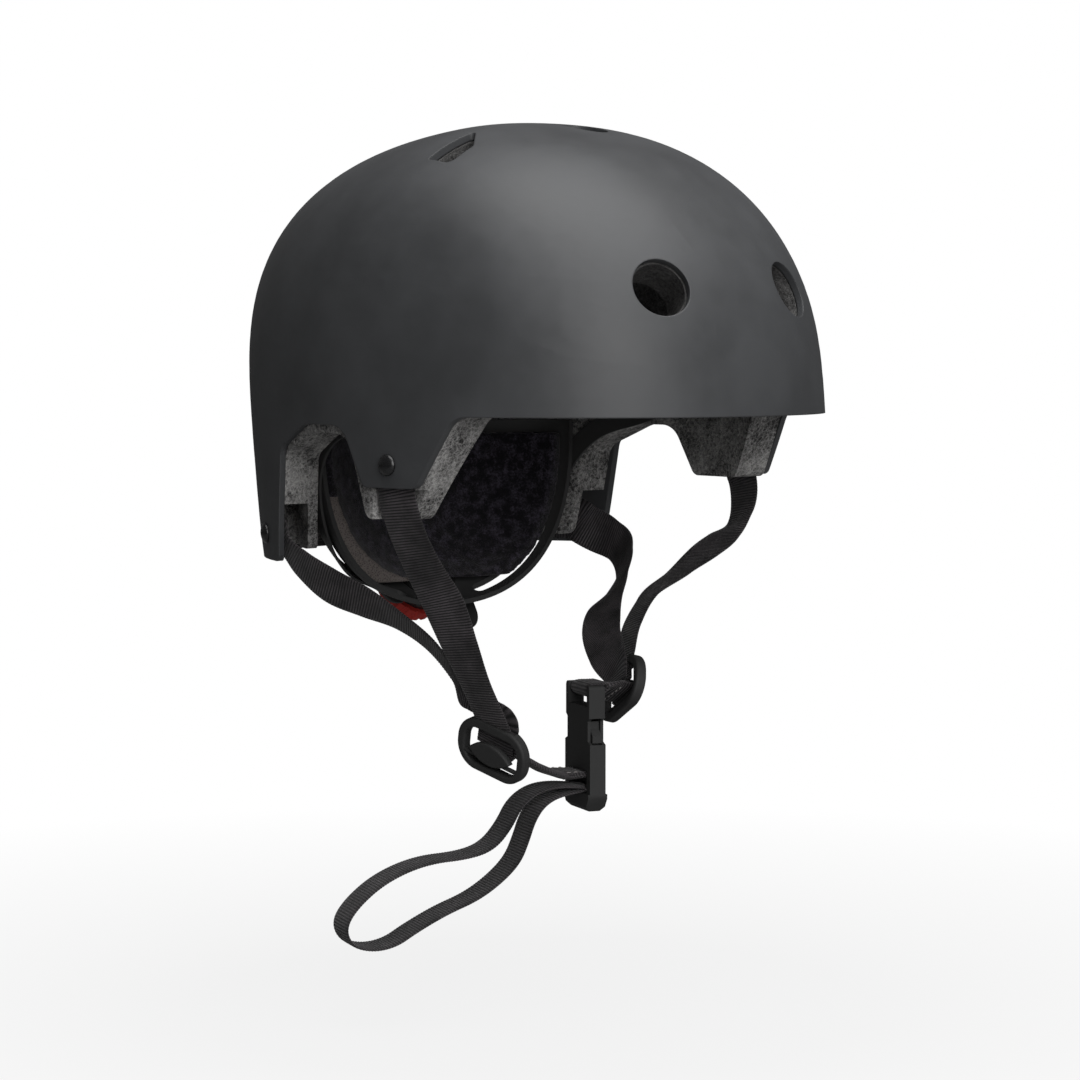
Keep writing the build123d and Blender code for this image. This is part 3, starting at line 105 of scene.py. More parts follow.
# Rows along each strap: the middle of the webbing, then the direction of its width
STRAP_ROWS = {
    "right_front": [
        (-104.3, -25.5, -13.0, 0.118, -0.993, -0.000),
        (-104.3, -25.5, -17.5, 0.115, -0.993, -0.000),
        (-104.4, -25.5, -22.0, 0.113, -0.994, -0.001),
        (-104.5, -25.5, -26.0, 0.111, -0.994, -0.001),
        (-104.5, -25.5, -30.0, 0.111, -0.989, 0.099),
        (-104.6, -26.5, -36.0, 0.150, -0.982, 0.116),
        (-100.6, -27.1, -48.7, 0.137, -0.984, 0.110),
        (-90.7, -28.0, -66.9, 0.202, -0.965, 0.170),
        (-81.9, -28.8, -80.3, 0.297, -0.925, 0.235),
        (-72.7, -28.6, -98.1, 0.187, -0.977, 0.099),
        (-64.5, -29.2, -114.8, -0.030, -0.994, 0.103),
        (-55.2, -29.6, -131.9, 0.010, -0.999, -0.020),
        (-51.8, -29.4, -138.4, 0.146, -0.947, -0.286),
        (-50.6, -27.3, -145.0, 0.146, -0.947, -0.286),
    ],
    "right_rear": [
        (-83.5, 83.0, -55.4, 0.075, -0.042, -0.996),
        (-86.1, 78.6, -55.4, 0.070, -0.037, -0.997),
        (-88.6, 74.1, -55.5, 0.066, -0.032, -0.997),
        (-90.5, 70.2, -55.5, 0.062, -0.027, -0.998),
        (-91.9, 67.2, -55.5, 0.214, 0.432, -0.876),
        (-92.0, 63.4, -60.4, 0.449, 0.661, -0.601),
        (-88.4, 56.5, -68.5, 0.353, 0.702, -0.619),
        (-82.6, 44.4, -77.5, 0.211, 0.652, -0.728),
        (-74.4, 31.4, -84.3, 0.319, 0.665, -0.676),
        (-65.0, 18.3, -92.5, 0.476, 0.779, -0.407),
        (-58.8, 6.3, -101.7, 0.508, 0.813, -0.284),
        (-55.1, -5.1, -113.4, 0.451, 0.877, -0.133),
        (-56.2, -17.5, -122.0, 0.150, 0.980, -0.100),
        (-53.0, -27.0, -128.6, 0.000, 0.990, 0.050),
        (-50.6, -31.0, -132.6, -0.105, 0.988, 0.114),
        (-49.4, -29.2, -137.9, -0.146, 0.947, 0.286),
        (-48.3, -27.0, -144.5, -0.146, 0.947, 0.286),
    ],
    "left_front": [
        (104.3, -25.5, -13.0, 0.118, 0.993, 0.000),
        (104.3, -25.5, -17.5, 0.115, 0.993, 0.000),
        (104.4, -25.5, -22.0, 0.113, 0.994, 0.001),
        (104.5, -25.5, -26.0, 0.111, 0.994, 0.001),
        (104.5, -25.5, -30.0, 0.111, 0.989, -0.099),
        (105.0, -27.0, -35.0, 0.130, 0.966, -0.220),
        (100.9, -29.0, -52.3, 0.141, 0.928, -0.345),
        (89.4, -29.5, -59.8, 0.150, 0.984, 0.050),
        (74.0, -31.0, -67.2, 0.219, 0.968, 0.120),
        (59.2, -30.5, -75.2, 0.359, 0.933, 0.004),
        (40.0, -29.8, -85.2, 0.529, 0.848, 0.027),
        (29.6, -30.3, -97.2, 0.416, 0.909, -0.034),
        (24.0, -32.0, -109.9, 0.369, 0.909, -0.193),
        (20.0, -33.3, -117.2, 0.209, 0.850, -0.484),
        (17.3, -36.0, -123.0, 0.209, 0.850, -0.484),
    ],
    "left_rear": [
        (83.5, 83.0, -55.4, -0.075, -0.042, -0.996),
        (86.1, 78.6, -55.4, -0.070, -0.037, -0.997),
        (88.6, 74.1, -55.5, -0.066, -0.032, -0.997),
        (90.5, 70.2, -55.5, -0.139, 0.250, -0.958),
        (91.3, 64.0, -58.5, -0.430, 0.342, -0.836),
        (96.4, 46.8, -67.0, 0.078, 0.784, -0.632),
        (85.2, 30.4, -75.8, 0.280, 0.759, -0.570),
        (70.5, 21.3, -84.6, 0.187, 0.837, -0.515),
        (54.0, 11.7, -91.2, -0.143, 0.922, -0.360),
        (39.2, -1.0, -99.4, -0.125, 0.967, -0.222),
        (27.0, -15.8, -107.2, -0.049, 0.915, -0.400),
        (19.4, -28.6, -113.2, 0.100, 0.894, -0.445),
        (17.8, -32.5, -116.6, 0.209, 0.850, -0.484),
        (15.1, -35.1, -122.4, 0.209, 0.850, -0.484),
    ],
    "right_chin": [
        (-50.8, -26.5, -147.7, 0.146, -0.947, -0.286),
        (-45.9, -26.0, -146.7, -0.124, -0.969, -0.216),
        (-27.5, -27.9, -154.7, -0.074, -0.983, -0.168),
        (-11.7, -26.3, -160.1, -0.077, -0.994, -0.073),
        (-4.3, -29.3, -160.1, -0.372, -0.928, 0.000),
    ],
    "left_chin": [
        (16.8, -37.3, -125.5, -0.209, -0.850, 0.484),
        (12.3, -35.5, -124.3, -0.139, -0.878, 0.458),
        (5.6, -33.2, -121.1, -0.329, -0.944, -0.021),
    ],
}

# The buckle's own side view: its origin, the way towards the right ear and the way across
BUCKLE_ORIGIN = np.array((0.0, -31.0, -155.0))
BUCKLE_OUT = np.array((-0.928062, 0.372426, 0.0))
BUCKLE_ACROSS = np.array((-0.372426, -0.928062, 0.0))
UP = np.array((0.0, 0.0, 1.0))

# The tail's route in that side view, the same points as in the part's source
TAIL_ROUTE = [
    (4.5, -10.65), (14.0, -9.4), (25.0, -11.0), (33.5, -17.0), (38.5, -26.5), (46.0, -35.0),
    (57.0, -38.5), (77.0, -39.5), (95.0, -46.0), (108.0, -56.0), (114.0, -65.0), (111.0, -73.0),
    (101.5, -76.0), (91.0, -74.5), (82.0, -69.0), (68.0, -62.0), (54.0, -57.0), (43.0, -50.0),
    (34.5, -42.0), (30.5, -33.0), (27.5, -24.0), (22.5, -17.0), (14.0, -13.2), (4.5, -12.05),
]

# Webbing round the buckle's bars, in the same view: the bar's height, the bend's radius, the
# places of the straight parts from the outermost in, and how far the very end is raised
PLUG_BAR = (-8.2, 3.15, (4.5, 2.2), 0.0)
SOCKET_BAR = (32.0, 2.6, (-7.4, -3.0), 3.2)
BEND_STEPS = 9

# The webbing's section and weave, as counts and as shares of its width and thickness, and
# the fewest places along a strap
BAND_COLUMNS = 13
STEPS_PER_RIB = 6
FEWEST_STEPS = 8
YARNS_ACROSS = 44
SELVEDGE_SHARE = 0.08
SELVEDGE_THINNING = 0.75
SELVEDGE_POWER = 8
SCALLOP = 0.006

# Doubled webbing and its seams: lengths in metres, and places as shares of width or length
CHIN_THICKNESS = 0.0027
PLUG_WRAP_THICKNESS = 0.0026
FIRST_STITCHED_ROW = 2
SEAM_SHARE = 0.34
CROSS_SEAM_PLACE = 0.9
CROSS_SEAM_REACH = 0.42
STITCH_GAP = 0.55
STITCH_RISE = 0.00022
STITCH_STEPS = 7
STITCH_TIP = 0.35
THREAD_RADIUS = 0.00030

# Pads: the head's centre in millimetres, relief in metres, how straight a face has to look at
# the head to be fleece, and in metres the corner under which the nape pad shows its foam
HEAD_CENTRE = (0.0, 5.0, 10.0)
PAD_RELAXING = 0.5
PAD_RELAXINGS = 8
PAD_CROWN = 0.0003
PAD_GROOVE = 0.0006
FLEECE_LIMIT = 0.42
GROOVE_SPREAD = 0.10
PILE_SCALE = 900.0
NAPE_PAD_CUT = (0.0, 0.0626, -0.040)

# Rivets in millimetres: under each head on the wearer's left its place and the way the head
# looks, the shank as radii and heights under the head, and the dome
RIVET_SEATS = [
    ((93.755, 75.045, -55.407), (0.89083, 0.44885, -0.07048)),
    ((109.419, -25.711, -21.999), (0.99375, -0.11083, 0.01297)),
]
RIVET_SHANK = [(0.0, -8.4), (3.0, -8.4), (3.0, -7.6), (2.0, -7.6), (2.0, 0.0)]
RIVET_HEAD_RADIUS = 4.5
RIVET_HEAD_HEIGHT = 2.4
RIVET_EDGE = 0.2
DOME_STEPS = 12
TURNED_SIDES = 48
TURNED_ANGLE = 40.0

# Clean-up of CAD meshes: distances in metres and the angle of a bevelled edge in degrees
JOIN_DISTANCE = 2e-6
SLIVER_SIZE = 1e-6
BEVEL_ANGLE = 50.0


def measure(label, what, value, low, high):
    """A length property with its name, description, default and limits."""
    return FloatProperty(
        name=label, description=what, default=value, min=low, max=high, unit="LENGTH"
    )


def colour(label, what, value):
    """A colour property with its name, description and default."""
    return FloatVectorProperty(
        name=label, description=what, default=value, size=3, min=0.0, max=1.0, subtype="COLOR"
    )


class HelmetSizes(bpy.types.PropertyGroup):
    """Sizes of the webbing, pads and small parts."""

    webbing_width: measure("Webbing width", "Width of every strap", 0.020, 0.01, 0.03)
    webbing_thickness: measure("Webbing thickness", "Thickness of one layer", 0.0012, 0.0005, 0.003)
    rib_pitch: measure("Rib pitch", "Distance between two ribs", 0.00127, 0.0008, 0.003)
    rib_height: measure("Rib height", "How far a rib stands up", 0.00034, 0.0, 0.0005)
    pad_voxel: measure("Pad mesh size", "Size of the cells of a pad's mesh", 0.0014, 0.0008, 0.006)
    pile_height: measure("Fleece pile", "How uneven the fleece on a pad is", 0.00035, 0.0, 0.002)
    stitch_length: measure("Stitch length", "Length of one stitch", 0.0021, 0.001, 0.005)
    floor_gap: measure("Floor gap", "From the lowest strap down to the floor", 0.036, 0.0, 0.5)


class HelmetColours(bpy.types.PropertyGroup):
    """Colours of the helmet's materials."""

    shell: colour("Shell", "Paint of the hard shell", (0.044, 0.0455, 0.048))
    foam_dark: colour("Foam", "Moulded skin of the bead foam", (0.016, 0.0155, 0.0155))
    foam_pale: colour("Foam beads", "Bruised and cut beads", (0.52, 0.51, 0.50))
    fleece: colour("Fleece", "Face of the pads", (0.0062, 0.0054, 0.0074))
    pad_side: colour("Pad side", "Cut side of a pad's foam", (0.185, 0.162, 0.152))
    webbing: colour("Webbing", "Yarn of the straps", (0.0042, 0.0036, 0.0042))
    # Painted highlight on the tops of the webbing's ribs
    webbing_rib_highlight: colour("Webbing ribs", "Top of the ribs", (0.078, 0.069, 0.074))
    fitting: colour("Fittings", "Dividers, levers and buckle", (0.0065, 0.0065, 0.0070))
    cradle: colour("Cradle", "Yoke and belts", (0.0042, 0.0042, 0.0045))
    knob: colour("Dial knob", "Knob of the fit dial", (0.80, 0.034, 0.020))
    lacquer: colour("Rivets", "Lacquer on the rivets", (0.0045, 0.0045, 0.005))
    washer: colour("Washers", "Steel of the washers", (0.5, 0.5, 0.52))
    thread: colour("Thread", "Stitching thread", (0.34, 0.32, 0.31))
    floor: colour("Floor", "Floor under the helmet", (0.26, 0.26, 0.26))


def sizes():
    """The scene's sizes."""
    return bpy.context.scene.helmet_sizes


def colours():
    """The scene's colours."""
    return bpy.context.scene.helmet_colours


def tone(base, by=1.0, plus=0.0):
    """A colour times a factor, plus a little, with its alpha."""
    return tuple(min(1.0, c * by + plus) for c in base) + (1.0,)


# Materials


def add_node(tree, kind, sockets=None, **settings):
    """One shader node: its settings, then its sockets by name, each a value or a link."""
    made = tree.nodes.new(kind)
    for key, value in settings.items():
        setattr(made, key, value)
    for key, value in (sockets or {}).items():
        if isinstance(value, bpy.types.NodeSocket):
            tree.links.new(value, made.inputs[key])
        else:
            made.inputs[key].default_value = value
    return made


def empty_material(name):
    """A material, its tree and its output, which nothing feeds yet."""
    made = bpy.data.materials.new(name)
    made.use_nodes = True
    tree = made.node_tree
    tree.nodes.clear()
    return made, tree, add_node(tree, "ShaderNodeOutputMaterial")


def new_finish(name, **values):
    """A material with a Principled shader whose plain values are set on its own sockets."""
    made, tree, out = empty_material(name)
    plain = {key.replace("_", " "): value for key, value in values.items()}
    shader = add_node(tree, "ShaderNodeBsdfPrincipled", plain)
    tree.links.new(shader.outputs["BSDF"], out.inputs["Surface"])
    return made, tree, shader


def object_place(tree):
    """The place in the object's own coordinates, in metres."""
    return add_node(tree, "ShaderNodeTexCoord").outputs["Object"]


def object_noise(tree, scale, detail=3.0, roughness=0.55, output="Fac"):
    """Noise in the object's own coordinates, scale in repeats per metre."""
    sockets = {"Vector": object_place(tree), "Scale": scale}
    sockets |= {"Detail": detail, "Roughness": roughness}
    return add_node(tree, "ShaderNodeTexNoise", sockets).outputs[output]


def maths(tree, operation, *values):
    """The result of one step of arithmetic on values or links."""
    sockets = dict(enumerate(values))
    return add_node(tree, "ShaderNodeMath", sockets, operation=operation).outputs[0]


def arches(tree, place, count):
    """A row of arches, that many over each unit of a place: the absolute value of a sine."""
    wave = maths(tree, "SINE", maths(tree, "MULTIPLY", place, math.pi * count))
    return maths(tree, "ABSOLUTE", wave)


def between(tree, factor, onto=(0.0, 1.0), inside=(0.0, 1.0)):
    """Maps a factor from the range it lies inside onto another range."""
    sockets = {"Value": factor, "From Min": inside[0], "From Max": inside[1]}
    sockets |= {"To Min": onto[0], "To Max": onto[1]}
    return add_node(tree, "ShaderNodeMapRange", sockets).outputs["Result"]


def paint(tree, shader, factor, first, second):
    """Base colour between two colours by a factor."""
    sockets = {0: factor, 6: first, 7: second}
    mix = add_node(tree, "ShaderNodeMix", sockets, data_type="RGBA")
    tree.links.new(mix.outputs[2], shader.inputs["Base Color"])


def roughen(tree, shader, factor, onto, inside=(0.0, 1.0)):
    """Roughness over a range by a factor."""
    tree.links.new(between(tree, factor, onto, inside), shader.inputs["Roughness"])


def relief(tree, shader, height, depth, strength, edge=0.0):
    """Small relief from a height, its depth in metres, over edges rounded by a radius."""
    sockets = {"Height": height, "Distance": depth, "Strength": strength}
    bump = add_node(tree, "ShaderNodeBump", sockets)
    tree.links.new(bump.outputs["Normal"], shader.inputs["Normal"])
    if edge:
        bevel = add_node(tree, "ShaderNodeBevel", {"Radius": edge}, samples=6)
        tree.links.new(bevel.outputs["Normal"], bump.inputs["Normal"])


def shell_paint(name):
    """Matte soft-touch paint: fine grain, faint handling marks and a soft uneven gloss."""
    made, tree, shader = new_finish(name, Specular_IOR_Level=0.42)
    base = colours().shell
    cloud = object_noise(tree, scale=26.0, detail=4.0)
    grain = object_noise(tree, scale=2600.0, detail=2.0)
    share = between(tree, cloud, inside=(0.35, 0.65))
    paint(tree, shader, share, tone(base, by=0.88), tone(base, by=1.16))
    roughen(tree, shader, cloud, onto=(0.44, 0.54), inside=(0.3, 0.7))
    relief(tree, shader, grain, depth=0.00004, strength=0.6, edge=0.0009)
    return made


def bead_foam(name):
    """Moulded bead foam: beads of 2 mm with pale borders, a dark skin and bruised flecks.

    Noise moves the beads' borders by up to 2.6 mm. The pale share is the sum of fine flecks,
    broad patches and borders, and it is fainter above the brim: painted shade in the vents and
    crown."""
    made, tree, shader = new_finish(name, Specular_IOR_Level=0.28)
    place = object_place(tree)
    warp = object_noise(tree, scale=520.0, detail=3.0, roughness=0.6, output="Color")
    reach = {0: warp, 1: (0.0026, 0.0026, 0.0026)}
    moved = add_node(tree, "ShaderNodeVectorMath", reach, operation="MULTIPLY").outputs[0]
    spot = add_node(tree, "ShaderNodeVectorMath", {0: place, 1: moved}, operation="ADD")
    cells = {"Vector": spot.outputs[0], "Scale": 460.0}
    beads = add_node(tree, "ShaderNodeTexVoronoi", cells, feature="DISTANCE_TO_EDGE")
    flecks = object_noise(tree, scale=640.0, detail=6.0, roughness=0.78)
    patches = object_noise(tree, scale=85.0)
    border = between(tree, beads.outputs["Distance"], onto=(0.5, 0.0), inside=(0.0, 0.09))
    fine = maths(tree, "MULTIPLY_ADD", flecks, 3.0, border)
    total = maths(tree, "MULTIPLY_ADD", patches, 1.7, fine)
    share = between(tree, total, inside=(1.95, 3.15))
    level = add_node(tree, "ShaderNodeSeparateXYZ", {"Vector": place}).outputs["Z"]
    # Painted shade: the pale flecks fade above the brim, which darkens the foam in the vents and
    # crown
    painted_shade_above_brim = between(tree, level, onto=(1.0, 0.22), inside=(-0.012, 0.012))
    pale = maths(tree, "MULTIPLY", share, painted_shade_above_brim)
    paint(tree, shader, pale, tone(colours().foam_dark), tone(colours().foam_pale))
    roughen(tree, shader, flecks, onto=(0.55, 0.85))
    height = maths(tree, "SUBTRACT", flecks, border)
    relief(tree, shader, height, depth=0.0005, strength=0.8)
    return made


def fleece(name):
    """Brushed fleece: short tufts, mottled between near black and a faint violet, with sheen."""
    made, tree, shader = new_finish(
        name, Roughness=0.95, Specular_IOR_Level=0.15, Sheen_Weight=0.16, Sheen_Roughness=0.5
    )
    base = colours().fleece
    tufts = object_noise(tree, scale=1100.0, detail=4.0, roughness=0.7)
    patches = object_noise(tree, scale=230.0, roughness=0.6)
    share = between(tree, maths(tree, "MULTIPLY", tufts, patches), inside=(0.22, 0.42))
    paint(tree, shader, share, tone(base), tone(base, by=11.0))
    relief(tree, shader, tufts, depth=0.0007, strength=0.9)
    return made


def open_foam(name):
    """Cut side of a pad: grey open-cell foam with small dark pores."""
    made, tree, shader = new_finish(name, Roughness=0.9, Specular_IOR_Level=0.2)
    cells = {"Vector": object_place(tree), "Scale": 1250.0}
    pores = add_node(tree, "ShaderNodeTexVoronoi", cells, feature="F1").outputs["Distance"]
    base = colours().pad_side
    share = between(tree, pores, inside=(0.1, 0.5))
    paint(tree, shader, share, tone(base, by=0.3), tone(base))
    relief(tree, shader, pores, depth=0.0004, strength=0.8)
    return made


def woven_nylon(name):
    """Ribbed webbing: the ribs are in the mesh, and the yarns, fuzz and a painted highlight on the
    rib tops are here.

    The map's first coordinate runs across the webbing and the second counts its ribs."""
    made, tree, shader = new_finish(
        name, Specular_IOR_Level=0.35, Sheen_Weight=0.18, Sheen_Roughness=0.45
    )
    spot = add_node(tree, "ShaderNodeUVMap", uv_map="weave")
    parts = add_node(tree, "ShaderNodeSeparateXYZ", {"Vector": spot.outputs["UV"]})
    crest = arches(tree, parts.outputs["Y"], 1)
    yarn = arches(tree, parts.outputs["X"], YARNS_ACROSS)
    fuzz = object_noise(tree, scale=900.0, detail=4.0, roughness=0.7)
    patch = object_noise(tree, scale=70.0, detail=2.0)
    thin = between(tree, fuzz, onto=(0.62, 1.0), inside=(0.3, 0.7))
    # Painted highlight: the rib tops are painted lighter in patches, in place of light on the ribs
    rib_highlight = maths(tree, "MULTIPLY", maths(tree, "MULTIPLY", crest, thin), patch)
    share = between(tree, rib_highlight, inside=(0.16, 0.52))
    paint(tree, shader, share, tone(colours().webbing), tone(colours().webbing_rib_highlight))
    roughen(tree, shader, crest, onto=(0.78, 0.5))
    height = maths(tree, "ADD", yarn, fuzz)
    relief(tree, shader, height, depth=0.000018, strength=0.6)
    return made


def moulded_plastic(name, base, roughness, grain=0.00003, gloss=0.5):
    """Injection-moulded plastic: spark-eroded grain, flow unevenness and scuffed gloss."""
    made, tree, shader = new_finish(name, Specular_IOR_Level=gloss)
    cloud = object_noise(tree, scale=90.0, detail=4.0)
    fine = object_noise(tree, scale=3200.0, detail=2.0)
    scuff = object_noise(tree, scale=420.0, detail=6.0, roughness=0.75)
    share = between(tree, cloud, inside=(0.35, 0.7))
    paint(tree, shader, share, tone(base), tone(base, by=1.35, plus=0.002))
    roughen(tree, shader, scuff, onto=(roughness - 0.07, roughness + 0.12), inside=(0.3, 0.7))
    relief(tree, shader, fine, depth=grain, strength=0.6, edge=0.0008)
    return made


def turned_metal(name, base, metallic, roughness):
    """Lacquered or plain metal with fine turning marks."""
    made, tree, shader = new_finish(name, Metallic=metallic)
    marks = object_noise(tree, scale=700.0, detail=5.0, roughness=0.7)
    share = between(tree, marks, inside=(0.4, 0.7))
    paint(tree, shader, share, tone(base), tone(base, by=1.5, plus=0.004))
    roughen(tree, shader, marks, onto=(roughness - 0.06, roughness + 0.12))
    relief(tree, shader, marks, depth=0.00003, strength=0.5)
    return made


def twisted_thread(name):
    """Twisted polyester thread."""
    made, tree, shader = new_finish(name, Roughness=0.6, Sheen_Weight=0.3)
    twist = object_noise(tree, scale=1800.0, detail=2.0)
    base = colours().thread
    paint(tree, shader, twist, tone(base, by=0.5), tone(base))
    return made


# The maker of each material, which gets the material's name
FINISHES = {
    "shell_paint": shell_paint,
    "bead_foam": bead_foam,
    "fleece": fleece,
    "open_foam": open_foam,
    "woven_nylon": woven_nylon,
    "thread": twisted_thread,
    "fitting_plastic": lambda name: moulded_plastic(name, colours().fitting, 0.36),
    "buckle_plastic": lambda name: moulded_plastic(name, colours().fitting, 0.30),
    "cradle_plastic": lambda name: moulded_plastic(name, colours().cradle, 0.34, gloss=0.4),
    "housing_plastic": lambda name: moulded_plastic(
        name, colours().cradle, 0.24, grain=0.00001, gloss=0.55
    ),
    "knob_plastic": lambda name: moulded_plastic(name, colours().knob, 0.38),
    "rivet_lacquer": lambda name: turned_metal(name, colours().lacquer, 0.0, 0.24),
    "washer_steel": lambda name: turned_metal(name, colours().washer, 1.0, 0.35),
}


def finish(name):
    """The material of that name, made the first time it is asked for."""
    return bpy.data.materials.get(name) or FINISHES[name](name)


# Shapes


def new_object(name, data):
    """An object in the scene that shows that data."""
    made = bpy.data.objects.new(name, data)
    bpy.context.scene.collection.objects.link(made)
    return made


def unit(rows):
    """Vectors along the last axis of an array, each made one long."""
    return rows / np.linalg.norm(rows, axis=-1, keepdims=True)


def read_vectors(items, key):
    """That vector of every item of a mesh, as rows of an array."""
    flat = np.zeros(len(items) * 3, np.float32)
    items.foreach_get(key, flat)
    return flat.reshape(-1, 3).astype(float)


def closed_volume(points, quads):
    """Signed volume inside quads: the sum of each triangle's corner triple product over six."""
    a, b, c, d = (points[quads[:, i]] for i in range(4))
    return (np.einsum("ij,ij->", a, np.cross(b, c)) + np.einsum("ij,ij->", a, np.cross(c, d))) / 6


def grid_faces(index):
    """Faces round a tube from a grid of point numbers: rows along it, columns round it."""
    beside = np.roll(index, -1, axis=-1)
    ends = (index[..., :-1, :], beside[..., :-1, :], beside[..., 1:, :], index[..., 1:, :])
    return np.stack(ends, axis=-1).reshape(-1, 4)


def mesh_piece(name, points, quads, weave=None):
    """A mesh object from arrays of points and of four-cornered faces, turned to look outwards."""
    if closed_volume(points, quads) < 0:
        quads = quads[:, ::-1]
    mesh = bpy.data.meshes.new(name)
    mesh.vertices.add(len(points))
    mesh.vertices.foreach_set("co", np.ascontiguousarray(points, np.float32).ravel())
    mesh.loops.add(quads.size)
    mesh.loops.foreach_set("vertex_index", np.ascontiguousarray(quads, np.int32).ravel())
    mesh.polygons.add(len(quads))
    mesh.polygons.foreach_set("loop_start", np.arange(0, quads.size, 4, dtype=np.int32))
    if weave is not None:
        layer = mesh.uv_layers.new(name="weave")
        at_corners = np.ascontiguousarray(weave[quads.ravel()], np.float32)
        layer.data.foreach_set("uv", at_corners.ravel())
    mesh.update(calc_edges=True)
    mesh.validate()
    mesh.shade_smooth()
    return new_object(name, mesh)


def smooth_rows(rows, step):
    """Carries rows of numbers along a smooth line through them, a step apart.

    Each stretch is a cubic with the slope at its ends taken from the rows on both sides,
    each side weighted by the other side's length. The first three numbers are the place."""
    rows = np.asarray(rows, float)
    spans = np.linalg.norm(np.diff(rows[:, :3], axis=0), axis=1)
    at = np.concatenate([[0.0], np.cumsum(spans)])
    slopes = np.diff(rows, axis=0) / spans[:, None]
    weight = spans[:-1] / (spans[:-1] + spans[1:])
    inner = slopes[:-1] * (1 - weight)[:, None] + slopes[1:] * weight[:, None]
    ends = np.vstack([slopes[:1], inner, slopes[-1:]])
    count = max(int(at[-1] / step) + 1, FEWEST_STEPS)
    t = np.linspace(0.0, at[-1], count)
    k = np.clip(np.searchsorted(at, t, side="right") - 1, 0, len(spans) - 1)
    h = spans[k][:, None]
    u = ((t - at[k]) / spans[k])[:, None]
    return (
        rows[k] * (2 * u**3 - 3 * u**2 + 1)
        + ends[k] * h * (u**3 - 2 * u**2 + u)
        + rows[k + 1] * (3 * u**2 - 2 * u**3)
        + ends[k + 1] * h * (u**3 - u**2)
    )


def woven_band(name, line, across, thickness):
    """Ribbed webbing along a line of places with a direction of its width at each, in metres.

    The section is a flat loop: half the thickness, less a share of a high power of the
    place across, plus the rib, which is the absolute sine of the distance over the pitch.
    The ribs of the two faces are half a pitch apart and fade towards the selvedge."""
    along = unit(np.gradient(line, axis=0))
    across = unit(across - along * np.einsum("ij,ij->i", across, along)[:, None])
    face = np.cross(along, across)
    steps = np.linalg.norm(np.diff(line, axis=0), axis=1)
    pitch, height = sizes().rib_pitch, sizes().rib_height
    turns = np.concatenate([[0.0], np.cumsum(steps)]) / pitch
    share = np.sin(np.linspace(-math.pi / 2, math.pi / 2, BAND_COLUMNS))
    body = thickness / 2 * (1 - np.abs(share) ** SELVEDGE_POWER * SELVEDGE_THINNING)
    fade = np.clip((1 - np.abs(share)) / SELVEDGE_SHARE, 0.0, 1.0)
    front_rib = (np.abs(np.sin(turns * math.pi)) - 0.5) * height
    back_rib = (np.abs(np.sin((turns + 0.5) * math.pi)) - 0.5) * height
    scallop = 1 + SCALLOP * np.cos(turns * 2 * math.pi)
    wide = scallop[:, None] * share * (sizes().webbing_width / 2)
    flat = line[:, None, :] + across[:, None, :] * wide[..., None]
    top = body + front_rib[:, None] * fade
    low = -body - back_rib[:, None] * fade
    upper = flat + face[:, None, :] * top[..., None]
    lower = flat + face[:, None, :] * low[..., None]
    points = np.concatenate([upper, lower[:, ::-1]], axis=1)
    rows, columns = points.shape[:2]
    index = np.arange(rows * columns).reshape(rows, columns)
    half = columns // 2
    k = np.arange(half - 1)
    corners = (k + 1, k, columns - 1 - k, columns - 2 - k)
    first_cap = np.stack([index[0][c] for c in corners], axis=-1)
    last_cap = np.stack([index[-1][corners[c]] for c in (1, 0, 3, 2)], axis=-1)
    quads = np.concatenate([grid_faces(index), first_cap, last_cap])
    cross_map = np.concatenate([share, share[::-1]]) / 2 + 0.5
    shift = np.concatenate([np.zeros(half), np.full(half, 0.5)])
    weave = np.stack(
        [np.broadcast_to(cross_map, (rows, columns)), turns[:, None] + shift], axis=-1
    )
    return mesh_piece(name, points.reshape(-1, 3), quads, weave.reshape(-1, 2))


def band_from_rows(name, rows, thickness):
    """Webbing through a table of rows in millimetres."""
    scaled = np.array(rows, float) * np.array([MM, MM, MM, 1, 1, 1])
    fine = smooth_rows(scaled, sizes().rib_pitch / STEPS_PER_RIB)
    return woven_band(name, fine[:, :3], fine[:, 3:], thickness)


def in_buckle(x, y):
    """Points of the buckle's side view, as places in the frame, in metres."""
    return (BUCKLE_ORIGIN + np.multiply.outer(x, BUCKLE_OUT) + np.multiply.outer(y, UP)) * MM


def buckle_band(name, line, thickness):
    """Webbing that lies across the buckle along a line, and the fine places it runs through."""
    fine = smooth_rows(line, sizes().rib_pitch / STEPS_PER_RIB)
    return woven_band(name, fine, np.broadcast_to(BUCKLE_ACROSS, fine.shape), thickness), fine


def bar_wrap(name, bar, thickness):
    """Webbing half round a bar of the buckle, with a straight part on each side of it."""
    height, radius, leads, rise = bar
    turn = np.linspace(0, math.pi, BEND_STEPS)
    x = np.concatenate([leads, -np.sign(leads[0]) * radius * np.sin(turn), leads[::-1]])
    y = np.concatenate([[radius] * 2, radius * np.cos(turn), [-radius, -radius + rise]])
    return buckle_band(name, in_buckle(x, height + y), thickness)[0]


def dress(piece, body, material, *nodes, slot):
    """Gives a piece its body, a material if it has none, and hides the nodes it stands for; its
    slot is not used.
    """
    if not piece.data.materials:
        piece.data.materials.append(finish(material))
    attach(piece, body)
    if nodes:
        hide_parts(*nodes)


